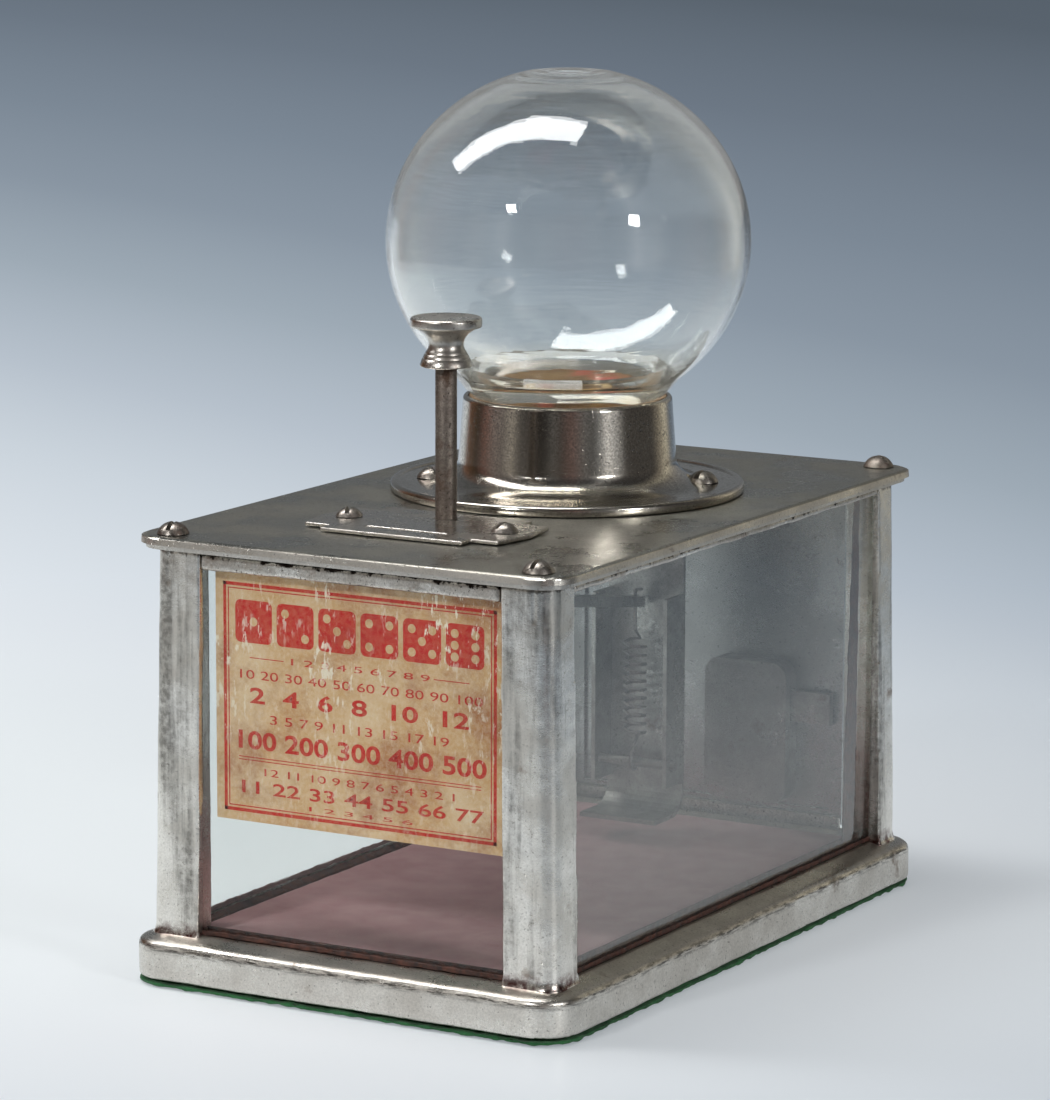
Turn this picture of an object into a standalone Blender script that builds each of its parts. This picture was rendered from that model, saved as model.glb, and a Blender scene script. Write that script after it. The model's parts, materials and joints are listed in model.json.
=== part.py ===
"""Counter trade stimulator: a nickel-plated case with glass on three sides and a door at the back,
a blown globe in a cast collar on the top plate, a spring plunger in front of it, and the lever
works that hangs under the plate and kicks the popper up into the globe.

Metres, +Z up. The front with the card faces -Y, X runs along the front to the right, and the
origin is the middle of the felt's underside.
"""

import math

import bmesh
import bpy
from mathutils import Matrix, Vector

# Fits
GAP = 0.0003
OVERRUN = 0.002
MERGE = 0.000001
LEVEL_TOLERANCE = 0.00003

# Case
CASE_H = 0.1176
PLATE_W = 0.128
PLATE_D = 0.206
PLATE_T = 0.0034
PLATE_CORNER_R = 0.009
PLATE_RIM_R = 0.0013
FELT_T = 0.0015
FELT_INSET = 0.0006

# Base moulding
BASE_OVERHANG = 0.0018
BASE_H = 0.0106
BASE_ROUND_R = 0.0054
BASE_FOOT_R = 0.0008
BASE_LIP_RISE = 0.0019
BASE_LIP_T = 0.0012
BASE_LIP_STANDOFF = 0.0018
REBATE_DEPTH = 0.0016
RING_LEDGE_W = 0.0034

# Floor inside the case
FLOOR_BOARD_T = 0.002
FLOOR_FELT_T = 0.0007

# Posts
POST_TOP_INSET = 0.0046
POST_FOOT_INSET_X = 0.0028
POST_FOOT_INSET_Y = 0.0040
POST_FACE_W = 0.01475
POST_SIDE_W = 0.012
POST_FOOT_EXTRA_W = 0.0006
POST_LEG_T = 0.0022
POST_LEG_OVERLAP = 0.003
POST_CORNER_R = 0.0048
POST_FLARE = 0.0009
POST_FLARE_H = 0.0026
SCREW_SOCKET_DEPTH = 0.009

# Glass, card and putty
PANE_T = 0.0024
CARD_SIDE_CLEAR = 0.00135
CARD_BELOW_RAIL = 0.0005
CARD_H = 0.0652
CARD_T = 0.0005
PUTTY_W = 0.0022
PUTTY_H = 0.0042

# Rails under the plate
RAIL_H = 0.0032
RAIL_T = 0.0021
RAIL_DROP = 0.002

# Fasteners
CASE_SCREW_R = 0.00425
CASE_SCREW_H = 0.0030
CASE_SCREW_SHANK_R = 0.0018
CASE_SCREW_EDGE_X = 0.00955
CASE_SCREW_EDGE_Y = 0.0070
COIN_SCREW_R = 0.0036
COIN_SCREW_H = 0.0024
COIN_SCREW_SHANK_R = 0.0015
SCREW_SLOT_W = 0.0009
RIVET_R = 0.0022
RIVET_H = 0.0011
RIVET_SHANK_R = 0.0013

# Works line: the plunger, the coin plate and the globe share one line across the plate
WORKS_X = -0.0018
PLUNGER_Y = -0.0465
COIN_SLOT_Y = -0.067
GLOBE_Y = 0.018

# Coin plate and chute
COIN_PLATE_T = 0.001
COIN_PLATE_Y = -0.0565
COIN_PLATE_D = 0.0364
COIN_PLATE_TIP_HALF = 0.0315
COIN_PLATE_SHOULDER_HALF = 0.0290
COIN_PLATE_END_HALF = 0.0213
COIN_PLATE_STEP = 0.0050
COIN_SCREW_SPREAD = 0.0236
COIN_SLOT_W = 0.0242
COIN_SLOT_GAP = 0.0020
CHUTE_WALL = 0.0010
CHUTE_CLEAR = 0.0012
CHUTE_L = 0.034

# Plunger
ROD_R = 0.00285
ROD_EXPOSED = 0.0403
ROD_RUNNING_GAP = 0.0003
ROD_TAIL = 0.0090
KNOB_R = 0.0094
KNOB_H = 0.0129
KNOB_SOCKET_DEPTH = 0.0062
PLUNGER_STROKE = 0.014
CROSS_PIN_R = 0.0012
CROSS_PIN_HALF = 0.0062
GUIDE_WALL = 0.0012
GUIDE_END_GAP = 0.0008

# Collar, gasket and globe
FLANGE_R = 0.0483
FLANGE_T = 0.0022
COLLAR_H = 0.0258
COLLAR_FOOT_R = 0.0297
COLLAR_MOUTH_R = 0.0283
COLLAR_WALL = 0.0014
FLANGE_SCREW_PCR = 0.0370
FLANGE_SCREW_DEG = 25.0
GLOBE_R = 0.0495
GLOBE_HALF_H = 0.0470
GLOBE_CENTRE_ABOVE_PLATE = 0.0681
GLOBE_WALL = 0.0018
GLOBE_NECK_R = 0.0244
GASKET_SEAT_T = 0.0016

# Lever works
WORKS_PLATE_W = 0.024
WORKS_PLATE_T = 0.0015
WORKS_PLATE_TAIL = 0.006
WORKS_PLATE_HEAD_D = 0.012
WORKS_PLATE_HEAD_OVER = 0.0055
PIVOT_Y = -0.0035
PIVOT_BELOW_PLATE = 0.0242
PIVOT_PIN_R = 0.0016
BRACKET_T = 0.0014
BRACKET_D = 0.011
LEVER_T = 0.003
LEVER_W = 0.0064
LEVER_HUB_R = 0.0042
TINE_T = 0.002
TAIL_Y = 0.0572
TAIL_END = 0.0036
HOOK_HOLE_R = 0.0012

# Popper
POPPER_STEM_R = 0.0016
POPPER_TIP_R = 0.0022
POPPER_CUP_R = 0.0208
POPPER_CUP_T = 0.0010
POPPER_SKIRT_H = 0.0035
POPPER_FELT_T = 0.0018
POPPER_TOP_ABOVE_PLATE = 0.0294
POPPER_GUIDE_WALL = 0.0014
POPPER_GUIDE_H = 0.0150
POPPER_GUIDE_ABOVE_PLATE = 0.0050

# Leg and return spring
LEG_W = 0.024
LEG_T = 0.0012
LEG_WEB_Y = 0.0634
LEG_FLANGE_D = 0.0096
LEG_FLANGE_TOP_DROP = 0.0300
LEG_FLANGE_FOOT = 0.0280
LEG_FOOT_Z = 0.0200
LEG_FOOT_R = 0.0060
LEG_FOOT_L = 0.0100
LEG_TOP_L = 0.0110
LEG_RIVET_SPREAD = 0.0075
SPRING_R = 0.0030
SPRING_WIRE_R = 0.0005
SPRING_TURNS = 11
SPRING_END_H = 0.0080
STUD_R = 0.0014
STUD_ABOVE_FOOT = 0.0140

# Back door, hinge and lock
DOOR_T = 0.0012
DOOR_HEM = 0.0040
DOOR_SIDE_GAP = 0.0006
HINGE_PIN_R = 0.0008
HINGE_KNUCKLE_R = 0.0016
HINGE_LEAF_T = 0.0006
HINGE_LEAF_W = 0.0085
HINGE_LEAF_H = 0.0620
LOCK_X = 0.0160
LOCK_Z = 0.0388
LOCK_CASE_W = 0.0260
LOCK_CASE_H = 0.0410
LOCK_CASE_D = 0.0070
LOCK_WALL = 0.0014
LOCK_CASE_R = 0.0045
BARREL_R = 0.0052
BARREL_PROUD = 0.0009
KEYWAY_W = 0.0011
KEYWAY_H = 0.0052
BOLT_H = 0.0090
BOLT_T = 0.0022
BOLT_THROW = 0.0060
BOLT_ENGAGE = 0.0027
BOLT_TAIL = 0.0105
BOLT_Z_ABOVE_LOCK = 0.0080

# Round segments
RING_STEPS = 36
CUP_STEPS = 28
ROUND_STEPS = 24
SMALL_STEPS = 16
PIN_STEPS = 12
HOLE_STEPS = 8
BASE_ROUND_SEGMENTS = 4
CORNER_SEGMENTS = 6
HUB_SEGMENTS = 8
RIM_SEGMENTS = 3
FINE_SEGMENTS = 2
SPRING_STEPS_PER_TURN = 6
GLOBE_ARC_POINTS = 11

# Shapes written as shares of the sizes they follow: (share of radius, share of height)
KNOB_SHARES = (
    (0.00, 1.000), (0.90, 1.000), (0.98, 0.960), (1.00, 0.900), (1.00, 0.780), (0.94, 0.725),
    (0.68, 0.655), (0.52, 0.570), (0.49, 0.470), (0.53, 0.365), (0.60, 0.330), (0.60, 0.290),
    (0.62, 0.240), (0.70, 0.150), (0.70, 0.055), (0.66, 0.000),
)
DOME_SHARES = ((0.00, 1.00), (0.45, 0.90), (0.80, 0.56), (1.00, 0.10), (1.00, 0.00))
FOOT_FILLET_SHARES = ((0.00, 0.34), (0.20, 0.14), (0.50, 0.03), (0.82, 0.00))
FLANGE_RIM_SHARES = ((-0.90, 0.00), (-0.62, 0.18), (-0.25, 0.18), (-0.04, -0.06), (0.00, -0.45), (-0.10, -1.0))
LIP_SHARES = ((-0.10, 0.000), (0.35, 0.006), (0.75, -0.012), (0.85, -0.055), (0.40, -0.090))
PONTIL_SHARES = ((0.00, -0.028), (0.07, -0.020), (0.13, -0.009))
KNUCKLE_SHARES = (0.0, 0.34, 0.66, 1.0)
DIMPLE_EDGE_SHARE = 1.6
NECK_WALL_SHARES = (0.6, 0.1)
FILLET_SHARES = (0.18, 0.28)
BORE_TURN_SHARE = 0.25
LIP_ROUND_SHARE = 0.6
FLARE_SHARE = 0.35
RAIL_EDGE_SHARE = 0.3
PUTTY_HEEL_SHARES = (0.9, 0.35)
SCREW_SLOT_SHARE = 0.5
LEVER_TAIL_SHARES = (0.8, 0.4)
FORK_SHARES = (1.6, 1.9)
SEAT_HALF_SHARE = 1.5
FELT_EDGE_SHARE = 0.96

# Angles
SLOT_TURNS_DEG = (28.0, -35.0, 64.0, 8.0)
COIN_SLOT_TURNS_DEG = (12.0, -52.0)
FLANGE_SLOT_TURNS_DEG = (-18.0, 70.0)
HOOK_START_DEG = 30.0
HOOK_SWEEP_DEG = 210.0
SHARP_DEG = 40.0
FLAT_DEG = 0.05

# Heights, from the felt up
METAL_Z = FELT_T + GAP
PLATE_TOP_Z = METAL_Z + CASE_H
PLATE_LOW_Z = PLATE_TOP_Z - PLATE_T
BASE_TOP_Z = METAL_Z + BASE_H
LIP_TOP_Z = BASE_TOP_Z + BASE_LIP_RISE
REBATE_Z = BASE_TOP_Z - REBATE_DEPTH
POST_LOW_Z = BASE_TOP_Z + GAP
POST_TOP_Z = PLATE_LOW_Z - GAP
PANE_LOW_Z = REBATE_Z + GAP
PANE_TOP_Z = PLATE_LOW_Z - GAP - GAP
RAIL_TOP_Z = PLATE_LOW_Z - RAIL_DROP
RAIL_LOW_Z = RAIL_TOP_Z - RAIL_H
FLOOR_Z = REBATE_Z + GAP + FLOOR_BOARD_T
FLOOR_TOP_Z = FLOOR_Z + GAP + FLOOR_FELT_T

# Plan of the case
BASE_W = PLATE_W + 2 * BASE_OVERHANG
BASE_D = PLATE_D + 2 * BASE_OVERHANG
BASE_CORNER_R = PLATE_CORNER_R + BASE_OVERHANG
POST_OUT_X = PLATE_W / 2 - POST_TOP_INSET
POST_OUT_Y = PLATE_D / 2 - POST_TOP_INSET
POST_IN_X = POST_OUT_X - POST_FACE_W
POST_IN_Y = POST_OUT_Y - POST_SIDE_W
REBATE_X = POST_OUT_X - POST_LEG_T
REBATE_Y = POST_OUT_Y - POST_LEG_T
CORE_IN_X = POST_IN_X + POST_LEG_OVERLAP
CORE_IN_Y = POST_IN_Y + POST_LEG_OVERLAP
PANE_OUT_X = REBATE_X - GAP
PANE_OUT_Y = REBATE_Y - GAP
PANE_IN_X = PANE_OUT_X - PANE_T
PANE_IN_Y = PANE_OUT_Y - PANE_T
PUTTY_IN_X = PANE_IN_X - GAP - PUTTY_W
FLOOR_HALF_X = PUTTY_IN_X - GAP
FLOOR_HALF_Y = CORE_IN_Y - GAP
HOLE_HALF_X = FLOOR_HALF_X - RING_LEDGE_W
HOLE_HALF_Y = FLOOR_HALF_Y - RING_LEDGE_W
FOOT_GROW_X = POST_TOP_INSET - POST_FOOT_INSET_X
FOOT_GROW_Y = POST_TOP_INSET - POST_FOOT_INSET_Y
POST_SEAT_X = POST_IN_X - GAP - max(0, POST_FOOT_EXTRA_W + POST_FLARE - FOOT_GROW_X)
POST_SEAT_Y = POST_IN_Y - GAP - max(0, POST_FOOT_EXTRA_W + POST_FLARE - FOOT_GROW_Y)
LIP_OUT_X = REBATE_X + BASE_LIP_T
LIP_OUT_Y = REBATE_Y + BASE_LIP_T
CASE_SCREW_X = PLATE_W / 2 - CASE_SCREW_EDGE_X
CASE_SCREW_Y = PLATE_D / 2 - CASE_SCREW_EDGE_Y
DOOR_OUT_Y = POST_OUT_Y + FOOT_GROW_Y
DOOR_IN_Y = DOOR_OUT_Y - DOOR_T
DOOR_HALF_X = POST_IN_X - DOOR_SIDE_GAP
DOOR_LOW_Z = LIP_TOP_Z + DOOR_SIDE_GAP
DOOR_TOP_Z = RAIL_LOW_Z - DOOR_SIDE_GAP
HINGE_X = -POST_IN_X + DOOR_SIDE_GAP / 2
HINGE_LEAF_Y = DOOR_OUT_Y + GAP
HINGE_Y = HINGE_LEAF_Y + HINGE_LEAF_T / 2 + HINGE_KNUCKLE_R
HINGE_MID_Z = (DOOR_LOW_Z + DOOR_TOP_Z) / 2

# Lever works geometry
FRONT_ARM = PIVOT_Y - PLUNGER_Y
POPPER_ARM = GLOBE_Y - PIVOT_Y
LEVER_REST = math.atan(PLUNGER_STROKE / 2 / FRONT_ARM)
TAIL_ARM = (TAIL_Y - PIVOT_Y) / math.cos(LEVER_REST)
PIVOT_Z = PLATE_LOW_Z - PIVOT_BELOW_PLATE
LEVER_HALF_RISE = LEVER_T / 2 / math.cos(LEVER_REST)
FORK_TOP_Z = PIVOT_Z + PLUNGER_STROKE / 2 + LEVER_HALF_RISE
CROSS_PIN_Z = FORK_TOP_Z + GAP + CROSS_PIN_R
SEAT_TOP_Z = PIVOT_Z - POPPER_ARM * math.tan(LEVER_REST) + LEVER_HALF_RISE
POPPER_TIP_Z = SEAT_TOP_Z + GAP + POPPER_TIP_R
TAIL_Z = PIVOT_Z - TAIL_ARM * math.sin(LEVER_REST)
POPPER_TOP_Z = PLATE_TOP_Z + POPPER_TOP_ABOVE_PLATE
WORKS_TOP_Z = PLATE_LOW_Z - GAP
WORKS_LOW_Z = WORKS_TOP_Z - WORKS_PLATE_T
ROD_HOLE_R = ROD_R + ROD_RUNNING_GAP
GUIDE_R = ROD_HOLE_R + GUIDE_WALL
POPPER_GUIDE_BORE_R = POPPER_STEM_R + GAP
POPPER_GUIDE_R = POPPER_GUIDE_BORE_R + POPPER_GUIDE_WALL
LEG_FOOT_TOP_Z = METAL_Z + LEG_FOOT_Z
STUD_Z = LEG_FOOT_TOP_Z + STUD_ABOVE_FOOT

NICKEL = ("nickel", (0.62, 0.59, 0.54), 0.30, 1.0)
PLATE_NICKEL = ("plate_nickel", (0.42, 0.41, 0.37), 0.38, 1.0)
BRIGHT_NICKEL = ("bright_nickel", (0.72, 0.68, 0.62), 0.14, 1.0)
SCREW_NICKEL = ("screw_nickel", (0.60, 0.58, 0.54), 0.28, 1.0)
PITTED_STEEL = ("pitted_steel", (0.20, 0.17, 0.15), 0.55, 1.0)
WORKS_STEEL = ("works_steel", (0.45, 0.44, 0.42), 0.40, 1.0)
SPRING_STEEL = ("spring_steel", (0.35, 0.34, 0.33), 0.35, 1.0)
BRASS = ("brass", (0.66, 0.50, 0.24), 0.35, 1.0)
WINDOW_GLASS = ("window_glass", (0.90, 0.95, 0.93), 0.03, 0.0)
GLOBE_GLASS = ("globe_glass", (0.95, 0.97, 0.97), 0.02, 0.0)
CARD = ("card", (0.74, 0.58, 0.42), 0.80, 0.0)
PUTTY = ("putty", (0.16, 0.05, 0.04), 0.85, 0.0)
GREEN_FELT = ("green_felt", (0.03, 0.12, 0.07), 0.95, 0.0)
MAROON_FELT = ("maroon_felt", (0.22, 0.06, 0.07), 0.95, 0.0)
RED_FELT = ("red_felt", (0.60, 0.06, 0.05), 0.90, 0.0)
CORK = ("cork", (0.40, 0.22, 0.11), 0.90, 0.0)
BOARD_WOOD = ("board_wood", (0.33, 0.22, 0.13), 0.80, 0.0)


def clear_scene():
    """Empties the file and makes the collections for the pieces and for their cutters."""
    for old in list(bpy.data.objects):
        bpy.data.objects.remove(old)
    pieces = bpy.data.collections.new("trade_stimulator")
    cutters = bpy.data.collections.new("cutters")
    bpy.context.scene.collection.children.link(pieces)
    bpy.context.scene.collection.children.link(cutters)
    return pieces, cutters


PIECES, CUTTERS = clear_scene()


def material(finish):
    """Returns the Principled material of a finish, made on first use."""
    name, colour, roughness, metallic = finish
    found = bpy.data.materials.get(name)
    if found:
        return found
    made = bpy.data.materials.new(name)
    made.use_nodes = True
    shader = made.node_tree.nodes["Principled BSDF"]
    shader.inputs["Base Color"].default_value = (*colour, 1.0)
    shader.inputs["Roughness"].default_value = roughness
    shader.inputs["Metallic"].default_value = metallic
    return made


def new_object(name, data, finish):
    """Links a piece; a piece with no finish is a cutter or a shape to be joined."""
    piece = bpy.data.objects.new(name, data)
    if finish:
        PIECES.objects.link(piece)
        data.materials.append(material(finish))
    else:
        CUTTERS.objects.link(piece)
        piece.hide_render = True
        piece.display_type = "WIRE"
    return piece


def arc(centre, radius, start, end, segments):
    """Points of an arc, both ends included."""
    turn = (end - start) / segments
    return [
        (centre[0] + radius * math.cos(start + i * turn), centre[1] + radius * math.sin(start + i * turn))
        for i in range(segments + 1)
    ]


def rounded_outline(half_x, half_y, radius, centre=(0, 0), segments=CORNER_SEGMENTS):
    """A rectangle with round corners, counter-clockwise."""
    points = []
    for quarter, (sx, sy) in enumerate(((1, 1), (-1, 1), (-1, -1), (1, -1))):
        corner = (centre[0] + sx * (half_x - radius), centre[1] + sy * (half_y - radius))
        start = quarter * math.pi / 2
        points += arc(corner, radius, start, start + math.pi / 2, segments)
    return points


def prism(name, outlines, low, high, finish=None, across="Z"):
    """An extruded outline with its holes, as a mesh. Across X, the outline holds (y, z) points."""
    curve = bpy.data.curves.new(name + "_outline", "CURVE")
    curve.dimensions = "2D"
    curve.fill_mode = "BOTH"
    curve.extrude = (high - low) / 2
    for outline in outlines:
        spline = curve.splines.new("POLY")
        spline.points.add(len(outline) - 1)
        for point, (a, b) in zip(spline.points, outline):
            point.co = (a, b, 0, 1)
        spline.use_cyclic_u = True
    guide = bpy.data.objects.new(name + "_outline", curve)
    CUTTERS.objects.link(guide)
    mid = (low + high) / 2
    if across == "Z":
        guide.matrix_world = Matrix.Translation((0, 0, mid))
    elif across == "X":
        turn = Matrix(((0, 0, 1, 0), (1, 0, 0, 0), (0, 1, 0, 0), (0, 0, 0, 1)))
        guide.matrix_world = Matrix.Translation((mid, 0, 0)) @ turn
    else:
        turn = Matrix(((1, 0, 0, 0), (0, 0, -1, 0), (0, 1, 0, 0), (0, 0, 0, 1)))
        guide.matrix_world = Matrix.Translation((0, mid, 0)) @ turn
    return curve_to_mesh(guide, name, finish)


def curve_to_mesh(guide, name, finish):
    """Replaces a curve with its mesh, its caps welded, in place."""
    bpy.context.view_layer.update()
    graph = bpy.context.evaluated_depsgraph_get()
    place = guide.matrix_world.copy()
    data = bpy.data.meshes.new_from_object(guide.evaluated_get(graph))
    bpy.data.objects.remove(guide)
    data.materials.clear()
    data.name = name
    work = bmesh.new()
    work.from_mesh(data)
    bmesh.ops.remove_doubles(work, verts=work.verts, dist=MERGE)
    bmesh.ops.dissolve_degenerate(work, edges=work.edges, dist=MERGE)
    bmesh.ops.dissolve_limit(work, angle_limit=math.radians(FLAT_DEG), verts=work.verts, edges=work.edges)
    bmesh.ops.transform(work, matrix=place, verts=work.verts)
    bmesh.ops.recalc_face_normals(work, faces=work.faces)
    work.to_mesh(data)
    work.free()
    return new_object(name, data, finish)


def block(name, low, high, finish=None, edge=0, segments=FINE_SEGMENTS):
    """A box from its lowest and highest corners, with all its edges rounded by edge."""
    work = bmesh.new()
    bmesh.ops.create_cube(work, size=1)
    centre = (Vector(low) + Vector(high)) / 2
    size = Vector(high) - Vector(low)
    bmesh.ops.scale(work, vec=size, verts=work.verts)
    bmesh.ops.translate(work, vec=centre, verts=work.verts)
    if edge:
        bmesh.ops.bevel(work, geom=work.edges[:], offset=edge, segments=segments, affect="EDGES")
    data = bpy.data.meshes.new(name)
    work.to_mesh(data)
    work.free()
    return new_object(name, data, finish)


def pin(name, start, end, radius, finish=None, segments=SMALL_STEPS):
    """A plain cylinder between two points."""
    start, end = Vector(start), Vector(end)
    work = bmesh.new()
    bmesh.ops.create_cone(
        work, cap_ends=True, segments=segments, radius1=radius, radius2=radius, depth=(end - start).length
    )
    turn = (end - start).to_track_quat("Z", "Y").to_matrix().to_4x4()
    place = Matrix.Translation((start + end) / 2) @ turn
    bmesh.ops.transform(work, matrix=place, verts=work.verts)
    data = bpy.data.meshes.new(name)
    work.to_mesh(data)
    work.free()
    if finish:
        data.shade_smooth()
        data.set_sharp_from_angle(angle=math.radians(SHARP_DEG))
    return new_object(name, data, finish)


def turned(name, profile, place, finish=None, steps=ROUND_STEPS, closed=False):
    """A turned piece: the profile holds (radius, height) points from the top down the outside."""
    data = bpy.data.meshes.new(name)
    points = [(radius, 0, height) for radius, height in profile]
    edges = [(i, i + 1) for i in range(len(points) - 1)]
    if closed:
        edges.append((len(points) - 1, 0))
    data.from_pydata(points, edges, [])
    piece = new_object(name, data, finish)
    piece.location = (place[0], place[1], 0)
    spin = piece.modifiers.new("turning", "SCREW")
    spin.steps = steps
    spin.render_steps = steps
    spin.use_merge_vertices = True
    spin.merge_threshold = MERGE
    spin.use_smooth_shade = True
    return piece


def boolean(piece, other, operation):
    """Cuts or joins a piece with another shape."""
    step = piece.modifiers.new(other.name, "BOOLEAN")
    step.operation = operation
    step.solver = "EXACT"
    step.use_self = True
    step.object = other


def cut(piece, *cutters):
    """Takes each cutter out of a piece."""
    for cutter in cutters:
        boolean(piece, cutter, "DIFFERENCE")


def join(piece, *shapes):
    """Adds each shape to a piece."""
    for shape in shapes:
        boolean(piece, shape, "UNION")


def round_level_edges(piece, height, width, segments):
    """Rounds the outer edges that lie level at a height of a meshed prism."""
    work = bmesh.new()
    work.from_mesh(piece.data)
    near = LEVEL_TOLERANCE
    level = [e for e in work.edges if all(abs(v.co.z - height) < near for v in e.verts) and not e.is_boundary]
    walls = [e for e in level if any(abs(f.normal.z) < 0.5 for f in e.link_faces)]
    bmesh.ops.bevel(work, geom=walls, offset=width, segments=segments, affect="EDGES")
    work.to_mesh(piece.data)
    work.free()


def axis_empty(name, place):
    """An empty on a joint's axis, which carries the pieces that move on it."""
    empty = bpy.data.objects.new(name, None)
    PIECES.objects.link(empty)
    empty.location = place
    return empty


def carry(empty, *pieces):
    """Hangs pieces on an axis without moving them."""
    for piece in pieces:
        piece.parent = empty
        piece.location = piece.location - empty.location


def fastener(name, place, radius, height, shank_r, shank_l, slot_turn_deg=None, finish=SCREW_NICKEL):
    """A round-head screw, or a rivet where it has no slot; place is under its head."""
    profile = [(radius * r, height * h) for r, h in DOME_SHARES]
    profile += [(shank_r, 0), (shank_r, -shank_l), (0, -shank_l)]
    piece = turned(name, profile, place, finish, SMALL_STEPS)
    piece.location.z = place[2]
    if slot_turn_deg is not None:
        half = Vector((radius + OVERRUN, SCREW_SLOT_W / 2, height))
        slot = block(name + "_slot", -half, half)
        slot.location = (place[0], place[1], place[2] + height * (1 + SCREW_SLOT_SHARE))
        slot.rotation_euler.z = math.radians(slot_turn_deg)
        cut(piece, slot)
    return piece


def base_and_floor():
    """The moulded base ring, the board and felt that close it, and the pad it stands on."""
    pad = rounded_outline(BASE_W / 2 - FELT_INSET, BASE_D / 2 - FELT_INSET, BASE_CORNER_R - FELT_INSET)
    prism("felt_pad", [pad], 0, FELT_T, GREEN_FELT)

    base = prism("base_frame", [rounded_outline(BASE_W / 2, BASE_D / 2, BASE_CORNER_R)], METAL_Z, BASE_TOP_Z, NICKEL)
    round_level_edges(base, BASE_TOP_Z, BASE_ROUND_R, BASE_ROUND_SEGMENTS)
    round_level_edges(base, METAL_Z, BASE_FOOT_R, FINE_SEGMENTS)
    lip_r = BASE_CORNER_R - (BASE_W / 2 - LIP_OUT_X)
    lip = prism(
        "base_lip", [rounded_outline(LIP_OUT_X, LIP_OUT_Y, max(lip_r, GAP))], METAL_Z + BASE_FOOT_R * 2, LIP_TOP_Z
    )
    round_level_edges(lip, LIP_TOP_Z, BASE_LIP_T * LIP_ROUND_SHARE, FINE_SEGMENTS)
    join(base, lip)
    hole = block(
        "base_hole", (-HOLE_HALF_X, -HOLE_HALF_Y, -OVERRUN), (HOLE_HALF_X, HOLE_HALF_Y, LIP_TOP_Z + OVERRUN)
    )
    across = block(
        "rebate_across", (-CORE_IN_X, -REBATE_Y, REBATE_Z), (CORE_IN_X, REBATE_Y, LIP_TOP_Z + OVERRUN)
    )
    along = block(
        "rebate_along", (-REBATE_X, -CORE_IN_Y, REBATE_Z), (REBATE_X, CORE_IN_Y, LIP_TOP_Z + OVERRUN)
    )
    cut(base, hole, across, along)
    for side, sx in (("left", -1), ("right", 1)):
        for end, sy in (("front", -1), ("rear", 1)):
            near = (sx * POST_SEAT_X, sy * POST_SEAT_Y)
            far = (sx * BASE_W / 2, sy * BASE_D / 2)
            low = (min(near[0], far[0]), min(near[1], far[1]), BASE_TOP_Z)
            high = (max(near[0], far[0]), max(near[1], far[1]), LIP_TOP_Z + OVERRUN)
            cut(base, block(f"post_seat_{end}_{side}", low, high))

    board = block(
        "floor_board",
        (-HOLE_HALF_X + GAP, -HOLE_HALF_Y + GAP, METAL_Z),
        (HOLE_HALF_X - GAP, HOLE_HALF_Y - GAP, FLOOR_Z),
        BOARD_WOOD,
    )
    step = block(
        "floor_board_step",
        (-FLOOR_HALF_X, -FLOOR_HALF_Y, REBATE_Z + GAP),
        (FLOOR_HALF_X, FLOOR_HALF_Y, FLOOR_Z),
    )
    join(board, step)
    block(
        "floor_felt",
        (-FLOOR_HALF_X, -FLOOR_HALF_Y, FLOOR_Z + GAP),
        (FLOOR_HALF_X, FLOOR_HALF_Y, FLOOR_TOP_Z),
        MAROON_FELT,
    )


def post_ring(grow_x, grow_y, widen):
    """One level of a post's outline in the +X +Y quarter: a core with two legs that lap the panes."""
    out_x = POST_OUT_X + grow_x
    out_y = POST_OUT_Y + grow_y
    in_x = POST_IN_X + grow_x - widen
    in_y = POST_IN_Y + grow_y - widen
    corner = arc((out_x - POST_CORNER_R, out_y - POST_CORNER_R), POST_CORNER_R, 0, math.pi / 2, CORNER_SEGMENTS)
    inner = [
        (in_x, out_y), (in_x, REBATE_Y), (CORE_IN_X, REBATE_Y), (CORE_IN_X, CORE_IN_Y),
        (REBATE_X, CORE_IN_Y), (REBATE_X, in_y), (out_x, in_y),
    ]
    return corner + inner


def post(name, sx, sy):
    """A cast post, wider and further out at its foot, with a soldered flare where it meets the base."""
    levels = (
        (POST_LOW_Z, FOOT_GROW_X + POST_FLARE, FOOT_GROW_Y + POST_FLARE, POST_FOOT_EXTRA_W + 2 * POST_FLARE),
        (
            POST_LOW_Z + POST_FLARE_H * FLARE_SHARE,
            FOOT_GROW_X + POST_FLARE * FLARE_SHARE,
            FOOT_GROW_Y + POST_FLARE * FLARE_SHARE,
            POST_FOOT_EXTRA_W + 2 * POST_FLARE * FLARE_SHARE,
        ),
        (POST_LOW_Z + POST_FLARE_H, FOOT_GROW_X, FOOT_GROW_Y, POST_FOOT_EXTRA_W),
        (POST_TOP_Z, 0, 0, 0),
    )
    work = bmesh.new()
    rings = []
    for z, grow_x, grow_y, widen in levels:
        ring = post_ring(grow_x, grow_y, widen)
        rings.append([work.verts.new((sx * x, sy * y, z)) for x, y in ring])
    work.faces.new(rings[0])
    for low, high in zip(rings, rings[1:]):
        for i in range(len(low)):
            j = (i + 1) % len(low)
            work.faces.new((low[i], low[j], high[j], high[i]))
    work.faces.new(rings[-1])
    bmesh.ops.recalc_face_normals(work, faces=work.faces)
    data = bpy.data.meshes.new(name)
    work.to_mesh(data)
    work.free()
    piece = new_object(name, data, NICKEL)
    at = (sx * CASE_SCREW_X, sy * CASE_SCREW_Y)
    cut(
        piece,
        pin(
            name + "_socket",
            (*at, POST_TOP_Z - SCREW_SOCKET_DEPTH),
            (*at, POST_TOP_Z + OVERRUN),
            CASE_SCREW_SHANK_R + GAP,
            segments=HOLE_STEPS,
        ),
    )


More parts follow.
